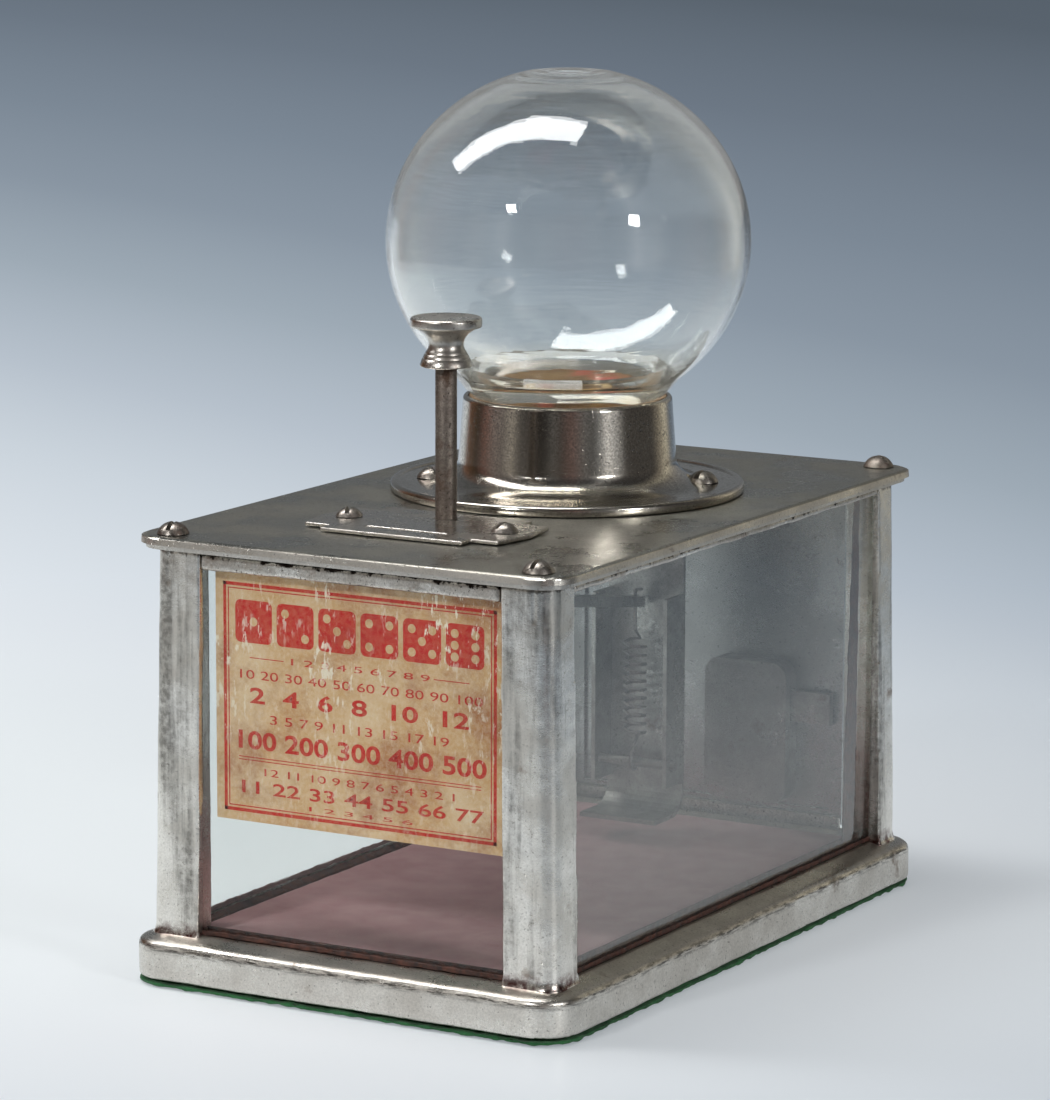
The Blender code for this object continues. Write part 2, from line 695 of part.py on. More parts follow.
def posts_and_rails():
    """Four posts, and the rails that lap the panes' top edges between them."""
    for side, sx in (("left", -1), ("right", 1)):
        for end, sy in (("front", -1), ("rear", 1)):
            post(f"post_{end}_{side}", sx, sy)
    high = RAIL_TOP_Z
    low = RAIL_LOW_Z
    clear_x = POST_IN_X - GAP
    clear_y = POST_IN_Y - GAP
    edge = RAIL_T * RAIL_EDGE_SHARE
    rail_y = (REBATE_Y, REBATE_Y + RAIL_T)
    rail_x = (REBATE_X, REBATE_X + RAIL_T)
    block("rail_front", (-clear_x, -rail_y[1], low), (clear_x, -rail_y[0], high), NICKEL, edge)
    block("rail_rear", (-clear_x, rail_y[0], low), (clear_x, rail_y[1], high), NICKEL, edge)
    block("rail_left", (-rail_x[1], -clear_y, low), (-rail_x[0], clear_y, high), NICKEL, edge)
    block("rail_right", (rail_x[0], -clear_y, low), (rail_x[1], clear_y, high), NICKEL, edge)


def putty(name, start, end, inward):
    """A wedge of putty along the foot of a pane, from start to end, its face sloping inward."""
    along = Vector(end) - Vector(start)
    side = Vector(inward)
    work = bmesh.new()
    foot = Vector(start)
    rise = Vector((0, 0, PUTTY_H))
    out_share, up_share = PUTTY_HEEL_SHARES
    heel = foot + side * PUTTY_W * out_share + rise * up_share
    corners = [foot, foot + side * PUTTY_W, heel, foot + rise]
    first = [work.verts.new(c) for c in corners]
    face = work.faces.new(first)
    pushed = bmesh.ops.extrude_face_region(work, geom=[face])
    moved = [v for v in pushed["geom"] if isinstance(v, bmesh.types.BMVert)]
    bmesh.ops.translate(work, vec=along, verts=moved)
    bmesh.ops.recalc_face_normals(work, faces=work.faces)
    data = bpy.data.meshes.new(name)
    work.to_mesh(data)
    work.free()
    new_object(name, data, PUTTY)


def glazing():
    """Three panes with their putty, and the card behind the front one."""
    pane_x = CORE_IN_X - GAP
    pane_y = CORE_IN_Y - GAP
    block("glass_front", (-pane_x, -PANE_OUT_Y, PANE_LOW_Z), (pane_x, -PANE_IN_Y, PANE_TOP_Z), WINDOW_GLASS)
    block("glass_left", (-PANE_OUT_X, -pane_y, PANE_LOW_Z), (-PANE_IN_X, pane_y, PANE_TOP_Z), WINDOW_GLASS)
    block("glass_right", (PANE_IN_X, -pane_y, PANE_LOW_Z), (PANE_OUT_X, pane_y, PANE_TOP_Z), WINDOW_GLASS)
    card_x = POST_IN_X - CARD_SIDE_CLEAR
    card_out = PANE_IN_Y - GAP
    card_top = RAIL_LOW_Z - CARD_BELOW_RAIL
    block("label_card", (-card_x, -card_out, card_top - CARD_H), (card_x, -card_out + CARD_T, card_top), CARD)
    foot = REBATE_Z + GAP
    edge_x = PANE_IN_X - GAP
    edge_y = PANE_IN_Y - GAP
    putty("putty_front", (-pane_x, -edge_y, foot), (pane_x, -edge_y, foot), (0, 1, 0))
    putty("putty_left", (-edge_x, -pane_y, foot), (-edge_x, pane_y, foot), (1, 0, 0))
    putty("putty_right", (edge_x, -pane_y, foot), (edge_x, pane_y, foot), (-1, 0, 0))


def flange_screw_places():
    """The two screws of the flange, opposite each other across the globe's axis."""
    places = []
    for turn in (0, math.pi):
        angle = math.radians(FLANGE_SCREW_DEG) + turn
        places.append(
            (WORKS_X + FLANGE_SCREW_PCR * math.cos(angle), GLOBE_Y + FLANGE_SCREW_PCR * math.sin(angle))
        )
    return places


def coin_screw_places():
    """The two screws of the coin plate."""
    return [(WORKS_X + s * COIN_SCREW_SPREAD, COIN_PLATE_Y) for s in (-1, 1)]


def top_plate():
    """The cover plate with a rolled rim, and the screws that hold it to the posts."""
    plate = prism(
        "top_plate",
        [rounded_outline(PLATE_W / 2, PLATE_D / 2, PLATE_CORNER_R)],
        PLATE_LOW_Z,
        PLATE_TOP_Z,
        PLATE_NICKEL,
    )
    round_level_edges(plate, PLATE_TOP_Z, PLATE_RIM_R, RIM_SEGMENTS)
    round_level_edges(plate, PLATE_LOW_Z, PLATE_RIM_R, FINE_SEGMENTS)
    holes = [
        ("rod", (WORKS_X, PLUNGER_Y), GUIDE_R + GAP, ROUND_STEPS),
        ("popper", (WORKS_X, GLOBE_Y), POPPER_GUIDE_R + GAP, ROUND_STEPS),
    ]
    corners = [(sx * CASE_SCREW_X, sy * CASE_SCREW_Y) for sy in (-1, 1) for sx in (-1, 1)]
    holes += [(f"corner_{i}", at, CASE_SCREW_SHANK_R + GAP, HOLE_STEPS) for i, at in enumerate(corners)]
    holes += [
        (f"coin_{i}", at, COIN_SCREW_SHANK_R + GAP, HOLE_STEPS) for i, at in enumerate(coin_screw_places())
    ]
    holes += [
        (f"flange_{i}", at, CASE_SCREW_SHANK_R + GAP, HOLE_STEPS)
        for i, at in enumerate(flange_screw_places())
    ]
    for label, at, radius, steps in holes:
        low = (*at, PLATE_LOW_Z - OVERRUN)
        high = (*at, PLATE_TOP_Z + OVERRUN)
        cut(plate, pin(f"plate_hole_{label}", low, high, radius, segments=steps))
    slot = Vector((COIN_SLOT_W / 2 + CHUTE_CLEAR, COIN_SLOT_GAP / 2 + CHUTE_CLEAR, PLATE_T))
    mid = Vector((WORKS_X, COIN_SLOT_Y, (PLATE_LOW_Z + PLATE_TOP_Z) / 2))
    cut(plate, block("plate_slot", mid - slot, mid + slot))

    names = ("front_left", "front_right", "rear_left", "rear_right")
    shank = PLATE_T + GAP + SCREW_SOCKET_DEPTH - GAP - GAP
    for name, at, turn in zip(names, corners, SLOT_TURNS_DEG):
        fastener(
            "case_screw_" + name,
            (*at, PLATE_TOP_Z + GAP),
            CASE_SCREW_R,
            CASE_SCREW_H,
            CASE_SCREW_SHANK_R,
            shank,
            turn,
        )


def coin_entry():
    """The thin coin plate with stepped corners and pointed ends, its screws, and the chute below."""
    half_d = COIN_PLATE_D / 2
    quarter = [
        (COIN_PLATE_TIP_HALF, 0),
        (COIN_PLATE_SHOULDER_HALF, half_d - COIN_PLATE_STEP),
        (COIN_PLATE_END_HALF, half_d - COIN_PLATE_STEP),
        (COIN_PLATE_END_HALF, half_d),
    ]
    back = quarter + [(-x, y) for x, y in reversed(quarter)]
    front = [(x, -y) for x, y in reversed(back)][1:-1]
    outline = [(WORKS_X + x, COIN_PLATE_Y + y) for x, y in back + front]
    low = PLATE_TOP_Z + GAP
    high = low + COIN_PLATE_T
    plate = prism("coin_plate", [outline], low, high, NICKEL)
    slot = Vector((COIN_SLOT_W / 2, COIN_SLOT_GAP / 2, COIN_PLATE_T + OVERRUN))
    mid = Vector((WORKS_X, COIN_SLOT_Y, low))
    cut(plate, block("coin_plate_slot", mid - slot, mid + slot))
    rod_at = (WORKS_X, PLUNGER_Y)
    over = (low - OVERRUN, high + OVERRUN)
    cut(plate, pin("coin_plate_rod_hole", (*rod_at, over[0]), (*rod_at, over[1]), ROD_HOLE_R, segments=ROUND_STEPS))
    for i, at in enumerate(coin_screw_places()):
        hole = pin(
            f"coin_plate_hole_{i}",
            (*at, over[0]),
            (*at, over[1]),
            COIN_SCREW_SHANK_R + GAP,
            segments=HOLE_STEPS,
        )
        cut(plate, hole)
    shank = high + GAP - WORKS_LOW_Z + GAP
    for side, at, turn in zip(("left", "right"), coin_screw_places(), COIN_SLOT_TURNS_DEG):
        fastener(
            "coin_plate_screw_" + side,
            (*at, high + GAP),
            COIN_SCREW_R,
            COIN_SCREW_H,
            COIN_SCREW_SHANK_R,
            shank,
            turn,
        )

    bore_x = COIN_SLOT_W / 2 + CHUTE_CLEAR / 2
    bore_y = COIN_SLOT_GAP / 2 + CHUTE_CLEAR / 2
    top = PLATE_LOW_Z - GAP
    chute = block(
        "coin_chute",
        (WORKS_X - bore_x - CHUTE_WALL, COIN_SLOT_Y - bore_y - CHUTE_WALL, top - CHUTE_L),
        (WORKS_X + bore_x + CHUTE_WALL, COIN_SLOT_Y + bore_y + CHUTE_WALL, top),
        WORKS_STEEL,
    )
    bore = block(
        "chute_bore",
        (WORKS_X - bore_x, COIN_SLOT_Y - bore_y, top - CHUTE_L - OVERRUN),
        (WORKS_X + bore_x, COIN_SLOT_Y + bore_y, top + OVERRUN),
    )
    cut(chute, bore)


def plunger():
    """The rod with its turned knob and the cross pin that bears on the lever's fork, and its guide."""
    at = (WORKS_X, PLUNGER_Y)
    rod_seat = PLATE_TOP_Z + GAP + COIN_PLATE_T
    knob_low = rod_seat + ROD_EXPOSED
    rod_top = knob_low + KNOB_SOCKET_DEPTH - GAP
    rod_low = CROSS_PIN_Z - ROD_TAIL
    rod = turned(
        "plunger_rod",
        [(0, rod_top), (ROD_R, rod_top), (ROD_R, rod_low + ROD_R), (ROD_R / 2, rod_low), (0, rod_low)],
        at,
        PITTED_STEEL,
        SMALL_STEPS,
    )
    cut(
        rod,
        pin(
            "cross_pin_hole",
            (WORKS_X - ROD_R - OVERRUN, PLUNGER_Y, CROSS_PIN_Z),
            (WORKS_X + ROD_R + OVERRUN, PLUNGER_Y, CROSS_PIN_Z),
            CROSS_PIN_R + GAP,
            segments=SMALL_STEPS,
        ),
    )
    knob_profile = [(KNOB_R * r, knob_low + KNOB_H * h) for r, h in KNOB_SHARES]
    socket_r = ROD_R + GAP
    socket_top = knob_low + KNOB_SOCKET_DEPTH
    knob_profile += [(socket_r, knob_low), (socket_r, socket_top), (0, socket_top)]
    knob = turned("plunger_knob", knob_profile, at, NICKEL, ROUND_STEPS)
    cross = pin(
        "plunger_cross_pin",
        (WORKS_X - CROSS_PIN_HALF, PLUNGER_Y, CROSS_PIN_Z),
        (WORKS_X + CROSS_PIN_HALF, PLUNGER_Y, CROSS_PIN_Z),
        CROSS_PIN_R,
        WORKS_STEEL,
        PIN_STEPS,
    )
    carry(axis_empty("plunger_axis", (*at, CROSS_PIN_Z)), rod, knob, cross)

    guide_top = PLATE_TOP_Z
    guide_low = CROSS_PIN_Z + CROSS_PIN_R + GUIDE_END_GAP
    turned(
        "plunger_guide",
        [(GUIDE_R, guide_top), (GUIDE_R, guide_low), (ROD_HOLE_R, guide_low), (ROD_HOLE_R, guide_top)],
        at,
        BRASS,
        ROUND_STEPS,
        closed=True,
    )


def collar_and_globe():
    """The cast collar with its round flange, the cork gasket, and the blown globe with its neck."""
    at = (WORKS_X, GLOBE_Y)
    seat = PLATE_TOP_Z + GAP
    mouth_z = seat + COLLAR_H
    flange_top = seat + FLANGE_T
    fillet_w = FLANGE_R * FILLET_SHARES[0]
    fillet_h = COLLAR_H * FILLET_SHARES[1]
    lip = [(COLLAR_MOUTH_R + COLLAR_WALL * a, mouth_z + COLLAR_H * b) for a, b in LIP_SHARES]
    foot = [(COLLAR_FOOT_R + fillet_w * a, flange_top + fillet_h * b) for a, b in FOOT_FILLET_SHARES]
    rim = [(FLANGE_R + FLANGE_T * a, flange_top + FLANGE_T * b) for a, b in FLANGE_RIM_SHARES]
    mouth_bore = COLLAR_MOUTH_R - COLLAR_WALL
    foot_bore = COLLAR_FOOT_R - COLLAR_WALL
    bore_turn_z = seat + COLLAR_H * BORE_TURN_SHARE
    inner = [(foot_bore, seat), (foot_bore, bore_turn_z), (mouth_bore, mouth_z - COLLAR_WALL / 2)]
    profile = lip + foot + rim + inner
    ring = turned("globe_ring", profile, at, BRIGHT_NICKEL, RING_STEPS, closed=True)
    for i, place in enumerate(flange_screw_places()):
        hole = pin(
            f"flange_hole_{i}",
            (*place, seat - OVERRUN),
            (*place, flange_top + OVERRUN),
            CASE_SCREW_SHANK_R + GAP,
            segments=HOLE_STEPS,
        )
        spot_face = pin(
            f"flange_spot_face_{i}",
            (*place, flange_top),
            (*place, flange_top + fillet_h),
            CASE_SCREW_R + GAP,
            segments=SMALL_STEPS,
        )
        cut(ring, hole, spot_face)
    shank = flange_top + GAP - PLATE_LOW_Z + GAP
    for side, place, turn in zip(("right", "left"), flange_screw_places(), FLANGE_SLOT_TURNS_DEG):
        fastener(
            "flange_screw_" + side,
            (*place, flange_top + GAP),
            CASE_SCREW_R,
            CASE_SCREW_H,
            CASE_SCREW_SHANK_R,
            shank,
            turn,
        )

    neck_in = GLOBE_NECK_R - GLOBE_WALL
    gasket_out = mouth_bore - GAP
    gasket_in = GLOBE_NECK_R + GAP
    gasket_top = mouth_z - COLLAR_WALL
    turned(
        "globe_gasket",
        [
            (gasket_out, gasket_top), (gasket_out, seat), (neck_in, seat), (neck_in, seat + GASKET_SEAT_T),
            (gasket_in, seat + GASKET_SEAT_T), (gasket_in, gasket_top),
        ],
        at,
        CORK,
        RING_STEPS,
        closed=True,
    )

    centre_z = PLATE_TOP_Z + GLOBE_CENTRE_ABOVE_PLATE
    neck_low = seat + GASKET_SEAT_T + GAP
    shoulder_z = gasket_top + GAP * 2
    outer = globe_arc(GLOBE_R, GLOBE_HALF_H, centre_z, GLOBE_NECK_R + GLOBE_WALL * NECK_WALL_SHARES[0])
    outer += [(GLOBE_NECK_R + GLOBE_WALL * NECK_WALL_SHARES[1], shoulder_z), (GLOBE_NECK_R, shoulder_z - GLOBE_WALL)]
    throat_in = neck_in + GLOBE_WALL * NECK_WALL_SHARES[0]
    inner = globe_arc(GLOBE_R - GLOBE_WALL, GLOBE_HALF_H - GLOBE_WALL, centre_z, throat_in)
    inner.append((neck_in, shoulder_z - GLOBE_WALL))
    profile = outer + [(GLOBE_NECK_R, neck_low), (neck_in, neck_low)] + inner[::-1]
    turned("glass_globe", profile, at, GLOBE_GLASS, RING_STEPS)


def globe_arc(radius, half_h, centre_z, neck_r):
    """The wall of the globe from its dimpled top down to where it narrows to a neck."""
    points = [(radius * r, centre_z + half_h * (1 + h)) for r, h in PONTIL_SHARES]
    start = math.asin(PONTIL_SHARES[-1][0]) * DIMPLE_EDGE_SHARE
    end = math.pi - math.asin(neck_r / radius)
    for i in range(GLOBE_ARC_POINTS + 1):
        angle = start + (end - start) * i / GLOBE_ARC_POINTS
        points.append((radius * math.sin(angle), centre_z + half_h * math.cos(angle)))
    return points


def works_frame():
    """The plate, bracket and leg that hang under the top plate and carry the lever and its spring."""
    head_half = COIN_SCREW_SPREAD + WORKS_PLATE_HEAD_OVER
    half_w = WORKS_PLATE_W / 2
    head_front = COIN_PLATE_Y - WORKS_PLATE_HEAD_D / 2
    head_back = COIN_PLATE_Y + WORKS_PLATE_HEAD_D / 2
    tail = LEG_WEB_Y + WORKS_PLATE_TAIL
    right = [(head_half, head_front), (head_half, head_back), (half_w, head_back + half_w / 2), (half_w, tail)]
    outline = [(WORKS_X + x, y) for x, y in right] + [(WORKS_X - x, y) for x, y in reversed(right)]
    plate = prism("works_plate", [outline], WORKS_LOW_Z, WORKS_TOP_Z, WORKS_STEEL)
    rivet_y = LEG_WEB_Y - LEG_TOP_L / 2
    rivet_places = [(WORKS_X + s * LEG_RIVET_SPREAD, rivet_y) for s in (-1, 1)]
    holes = [("rod", (WORKS_X, PLUNGER_Y), GUIDE_R + GAP), ("popper", (WORKS_X, GLOBE_Y), POPPER_GUIDE_R + GAP)]
    holes += [(f"screw_{i}", at, COIN_SCREW_SHANK_R + GAP) for i, at in enumerate(coin_screw_places())]
    holes += [(f"rivet_{i}", at, RIVET_SHANK_R + GAP) for i, at in enumerate(rivet_places)]
    for label, at, radius in holes:
        low = (*at, WORKS_LOW_Z - OVERRUN)
        high = (*at, WORKS_TOP_Z + OVERRUN)
        cut(plate, pin(f"works_hole_{label}", low, high, radius, segments=SMALL_STEPS))

    ear_in = LEVER_W / 2 + GAP
    ear_out = ear_in + BRACKET_T
    web_top = WORKS_LOW_Z - GAP
    ear_low = PIVOT_Z - BRACKET_D / 2
    round_half = BRACKET_D / 2
    side = [(PIVOT_Y + round_half, web_top), (PIVOT_Y - round_half, web_top)]
    side += arc((PIVOT_Y, ear_low + round_half), round_half, math.pi, 2 * math.pi, HUB_SEGMENTS)
    bracket = prism("lever_bracket", [side], WORKS_X - ear_out, WORKS_X + ear_out, WORKS_STEEL, across="X")
    gap_cut = block(
        "bracket_gap",
        (WORKS_X - ear_in, PIVOT_Y - BRACKET_D, ear_low - OVERRUN),
        (WORKS_X + ear_in, PIVOT_Y + BRACKET_D, web_top - BRACKET_T),
    )
    pivot_hole = pin(
        "bracket_pivot_hole",
        (WORKS_X - ear_out - OVERRUN, PIVOT_Y, PIVOT_Z),
        (WORKS_X + ear_out + OVERRUN, PIVOT_Y, PIVOT_Z),
        PIVOT_PIN_R + GAP,
        segments=SMALL_STEPS,
    )
    cut(bracket, gap_cut, pivot_hole)
    reach = ear_out + BRACKET_T
    pin(
        "lever_pivot_pin",
        (WORKS_X - reach, PIVOT_Y, PIVOT_Z),
        (WORKS_X + reach, PIVOT_Y, PIVOT_Z),
        PIVOT_PIN_R,
        WORKS_STEEL,
    )
    works_leg(rivet_places)


def works_leg(rivet_places):
    """A bent strip with side flanges: it hangs from the plate, guides the tail and ends in a curved foot."""
    top = WORKS_LOW_Z - GAP
    web_out = LEG_WEB_Y + LEG_T
    foot_r = LEG_FOOT_R
    foot_centre = (LEG_WEB_Y - foot_r, LEG_FOOT_TOP_Z + foot_r)
    outer_arc = arc(foot_centre, foot_r + LEG_T, 0, -math.pi / 2, CORNER_SEGMENTS)
    inner_arc = arc(foot_centre, foot_r, -math.pi / 2, 0, CORNER_SEGMENTS)
    side = [(LEG_WEB_Y - LEG_TOP_L, top), (web_out, top)] + outer_arc
    side += [
        (foot_centre[0] - LEG_FOOT_L, LEG_FOOT_TOP_Z - LEG_T),
        (foot_centre[0] - LEG_FOOT_L, LEG_FOOT_TOP_Z),
    ]
    side += inner_arc
    side += [(LEG_WEB_Y, top - LEG_T), (LEG_WEB_Y - LEG_TOP_L, top - LEG_T)]
    leg = prism("works_leg", [side], WORKS_X - LEG_W / 2, WORKS_X + LEG_W / 2, WORKS_STEEL, across="X")
    flange_high = top - LEG_FLANGE_TOP_DROP
    flange_low = METAL_Z + LEG_FLANGE_FOOT
    for label, s in (("left", -1), ("right", 1)):
        near = WORKS_X + s * (LEG_W / 2 - LEG_T)
        far = WORKS_X + s * LEG_W / 2
        flange = block(
            f"leg_flange_{label}",
            (min(near, far), LEG_WEB_Y - LEG_FLANGE_D, flange_low),
            (max(near, far), LEG_WEB_Y + LEG_T / 2, flange_high),
        )
        join(leg, flange)
    stud_reach = LEG_W / 2 + LEG_T
    stud_hole = pin(
        "leg_stud_hole",
        (WORKS_X - stud_reach - OVERRUN, TAIL_Y, STUD_Z),
        (WORKS_X + stud_reach + OVERRUN, TAIL_Y, STUD_Z),
        STUD_R + GAP,
        segments=PIN_STEPS,
    )
    cut(leg, stud_hole)
    for i, at in enumerate(rivet_places):
        hole = pin(
            f"leg_rivet_hole_{i}",
            (*at, top - LEG_T - OVERRUN),
            (*at, top + OVERRUN),
            RIVET_SHANK_R + GAP,
            segments=PIN_STEPS,
        )
        cut(leg, hole)
    pin(
        "spring_stud",
        (WORKS_X - stud_reach, TAIL_Y, STUD_Z),
        (WORKS_X + stud_reach, TAIL_Y, STUD_Z),
        STUD_R,
        WORKS_STEEL,
        PIN_STEPS,
    )
    for side_name, at in zip(("left", "right"), rivet_places):
        rivet = fastener(
            "leg_rivet_" + side_name,
            (0, 0, 0),
            RIVET_R,
            RIVET_H,
            RIVET_SHANK_R,
            LEG_T + GAP + WORKS_PLATE_T,
            finish=WORKS_STEEL,
        )
        rivet.location = (*at, top - LEG_T - GAP)
        rivet.rotation_euler.x = math.pi


def lever_piece():
    """The lever in one piece: a fork round the rod, a hub on the pivot, and a tail for the spring."""
    axis_at = Vector((WORKS_X, PIVOT_Y, PIVOT_Z))
    half_w = LEVER_W / 2
    fork_in = ROD_R + GAP * 2
    fork_out = fork_in + TINE_T
    fork_y = -(FRONT_ARM / math.cos(LEVER_REST))
    tip = fork_y - ROD_R * FORK_SHARES[0]
    throat = fork_y + ROD_R * FORK_SHARES[1]
    tail_hole = TAIL_ARM
    tail_end = tail_hole + TAIL_END
    seat_y = POPPER_ARM / math.cos(LEVER_REST)
    seat_half = POPPER_TIP_R * SEAT_HALF_SHARE
    tail_half = half_w * LEVER_TAIL_SHARES[0]
    tail_nose = half_w * LEVER_TAIL_SHARES[1]
    outline = [
        (fork_out, tip), (fork_out, throat), (half_w, throat + fork_out), (half_w, seat_y + seat_half),
        (tail_half, seat_y + seat_half * 2), (tail_half, tail_end - tail_half), (tail_nose, tail_end),
    ]
    outline += [(-x, y) for x, y in reversed(outline)]
    outline += [(-fork_in, tip)]
    outline += arc((0, throat - fork_in), fork_in, math.pi, 0, HUB_SEGMENTS)
    outline += [(fork_in, tip)]
    lever = prism("lever", [outline], -LEVER_T / 2, LEVER_T / 2, WORKS_STEEL)
    hub = pin("lever_hub", (-half_w, 0, 0), (half_w, 0, 0), LEVER_HUB_R, segments=ROUND_STEPS)
    hub_hole = pin(
        "lever_hub_hole", (-half_w - OVERRUN, 0, 0), (half_w + OVERRUN, 0, 0), PIVOT_PIN_R + GAP, segments=SMALL_STEPS
    )
    hook_hole = pin(
        "lever_hook_hole",
        (0, tail_hole, -LEVER_T - OVERRUN),
        (0, tail_hole, LEVER_T + OVERRUN),
        HOOK_HOLE_R,
        segments=PIN_STEPS,
    )
    join(lever, hub)
    cut(lever, hub_hole, hook_hole)
    for shape in (lever, hub, hub_hole, hook_hole):
        shape.location = axis_at
        shape.rotation_euler.x = -LEVER_REST


def popper():
    """The stem, cup and felt that jump up into the globe's neck, and the tube that guides the stem."""
    at = (WORKS_X, GLOBE_Y)
    felt_low = POPPER_TOP_Z - POPPER_FELT_T
    cup_top = felt_low - GAP
    cup_low = cup_top - POPPER_CUP_T
    skirt_low = cup_low - POPPER_SKIRT_H
    stem_top = cup_top - POPPER_CUP_T / 2
    stem_r = POPPER_STEM_R
    hub_r = stem_r * 2
    socket_r = stem_r + GAP
    felt = turned(
        "popper_felt",
        [
            (0, POPPER_TOP_Z), (POPPER_CUP_R * FELT_EDGE_SHARE, POPPER_TOP_Z),
            (POPPER_CUP_R, POPPER_TOP_Z - POPPER_FELT_T / 3),
            (POPPER_CUP_R, felt_low), (0, felt_low),
        ],
        at,
        RED_FELT,
        CUP_STEPS,
    )
    skirt_in = POPPER_CUP_R - POPPER_CUP_T
    cup = turned(
        "popper_cup",
        [
            (0, cup_top), (POPPER_CUP_R - POPPER_CUP_T / 2, cup_top), (POPPER_CUP_R, cup_top - POPPER_CUP_T / 2),
            (POPPER_CUP_R, skirt_low), (skirt_in, skirt_low), (skirt_in, cup_low), (hub_r, cup_low),
            (hub_r, skirt_low), (socket_r, skirt_low), (socket_r, stem_top), (0, stem_top),
        ],
        at,
        BRASS,
        CUP_STEPS,
    )
    stem_profile = [(0, stem_top - GAP), (stem_r, stem_top - GAP)]
    start = math.asin(stem_r / POPPER_TIP_R)
    steps = CORNER_SEGMENTS
    for i in range(steps + 1):
        angle = start + (math.pi - start) * i / steps
        radius = 0 if i == steps else POPPER_TIP_R * math.sin(angle)
        stem_profile.append((radius, POPPER_TIP_Z + POPPER_TIP_R * math.cos(angle)))
    stem = turned("popper_stem", stem_profile, at, WORKS_STEEL, SMALL_STEPS)
    carry(axis_empty("popper_axis", (*at, POPPER_TIP_Z)), felt, cup, stem)

    guide_high = PLATE_TOP_Z + POPPER_GUIDE_ABOVE_PLATE
    guide_low = PLATE_TOP_Z - POPPER_GUIDE_H
    collar_low = PLATE_TOP_Z + GAP
    collar_r = POPPER_GUIDE_R + POPPER_GUIDE_WALL
    turned(
        "popper_guide",
        [
            (POPPER_GUIDE_R, guide_high), (POPPER_GUIDE_R, collar_low + POPPER_GUIDE_WALL),
            (collar_r, collar_low + POPPER_GUIDE_WALL), (collar_r, collar_low), (POPPER_GUIDE_R, collar_low),
            (POPPER_GUIDE_R, guide_low), (POPPER_GUIDE_BORE_R, guide_low), (POPPER_GUIDE_BORE_R, guide_high),
        ],
        at,
        BRASS,
        SMALL_STEPS,
        closed=True,
    )


def return_spring():
    """The pull spring from the stud up to the lever's tail: a close coil with a hook at each end."""
    bend = STUD_R + GAP + SPRING_WIRE_R
    coil_low = STUD_Z + SPRING_END_H
    tail_top = TAIL_Z + LEVER_T / 2 / math.cos(LEVER_REST)
    coil_high = TAIL_Z - LEVER_T - SPRING_END_H
    at = Vector((WORKS_X, TAIL_Y, 0))
    points = []
    for i in range(HUB_SEGMENTS + 1):
        angle = math.radians(HOOK_START_DEG) - math.radians(HOOK_SWEEP_DEG) * i / (HUB_SEGMENTS)
        points.append(at + Vector((0, bend * math.cos(angle), STUD_Z + bend * math.sin(angle))))
    points.append(at + Vector((0, -bend, STUD_Z + bend)))
    points.append(at + Vector((0, 0, coil_low - SPRING_R)))
    turns = SPRING_TURNS * SPRING_STEPS_PER_TURN
    for i in range(turns + 1):
        angle = 2 * math.pi * i / SPRING_STEPS_PER_TURN
        lift = coil_low + (coil_high - coil_low) * i / turns
        points.append(at + Vector((SPRING_R * math.sin(angle), SPRING_R * math.cos(angle), lift)))
    points.append(at + Vector((0, 0, coil_high + SPRING_R)))
    hook_over = tail_top + GAP + SPRING_WIRE_R
    points.append(at + Vector((0, 0, hook_over)))
    points.append(at + Vector((0, SPRING_WIRE_R, hook_over + SPRING_WIRE_R * 2)))
    points.append(at + Vector((0, TAIL_END, hook_over + SPRING_WIRE_R)))
    wire = bpy.data.curves.new("return_spring_path", "CURVE")
    wire.dimensions = "3D"
    wire.bevel_depth = SPRING_WIRE_R
    wire.bevel_resolution = 1
    wire.use_fill_caps = True
    spline = wire.splines.new("POLY")
    spline.points.add(len(points) - 1)
    for knot, point in zip(spline.points, points):
        knot.co = (*point, 1)
    guide = bpy.data.objects.new("return_spring_path", wire)
    CUTTERS.objects.link(guide)
    curve_to_mesh(guide, "return_spring", SPRING_STEEL)


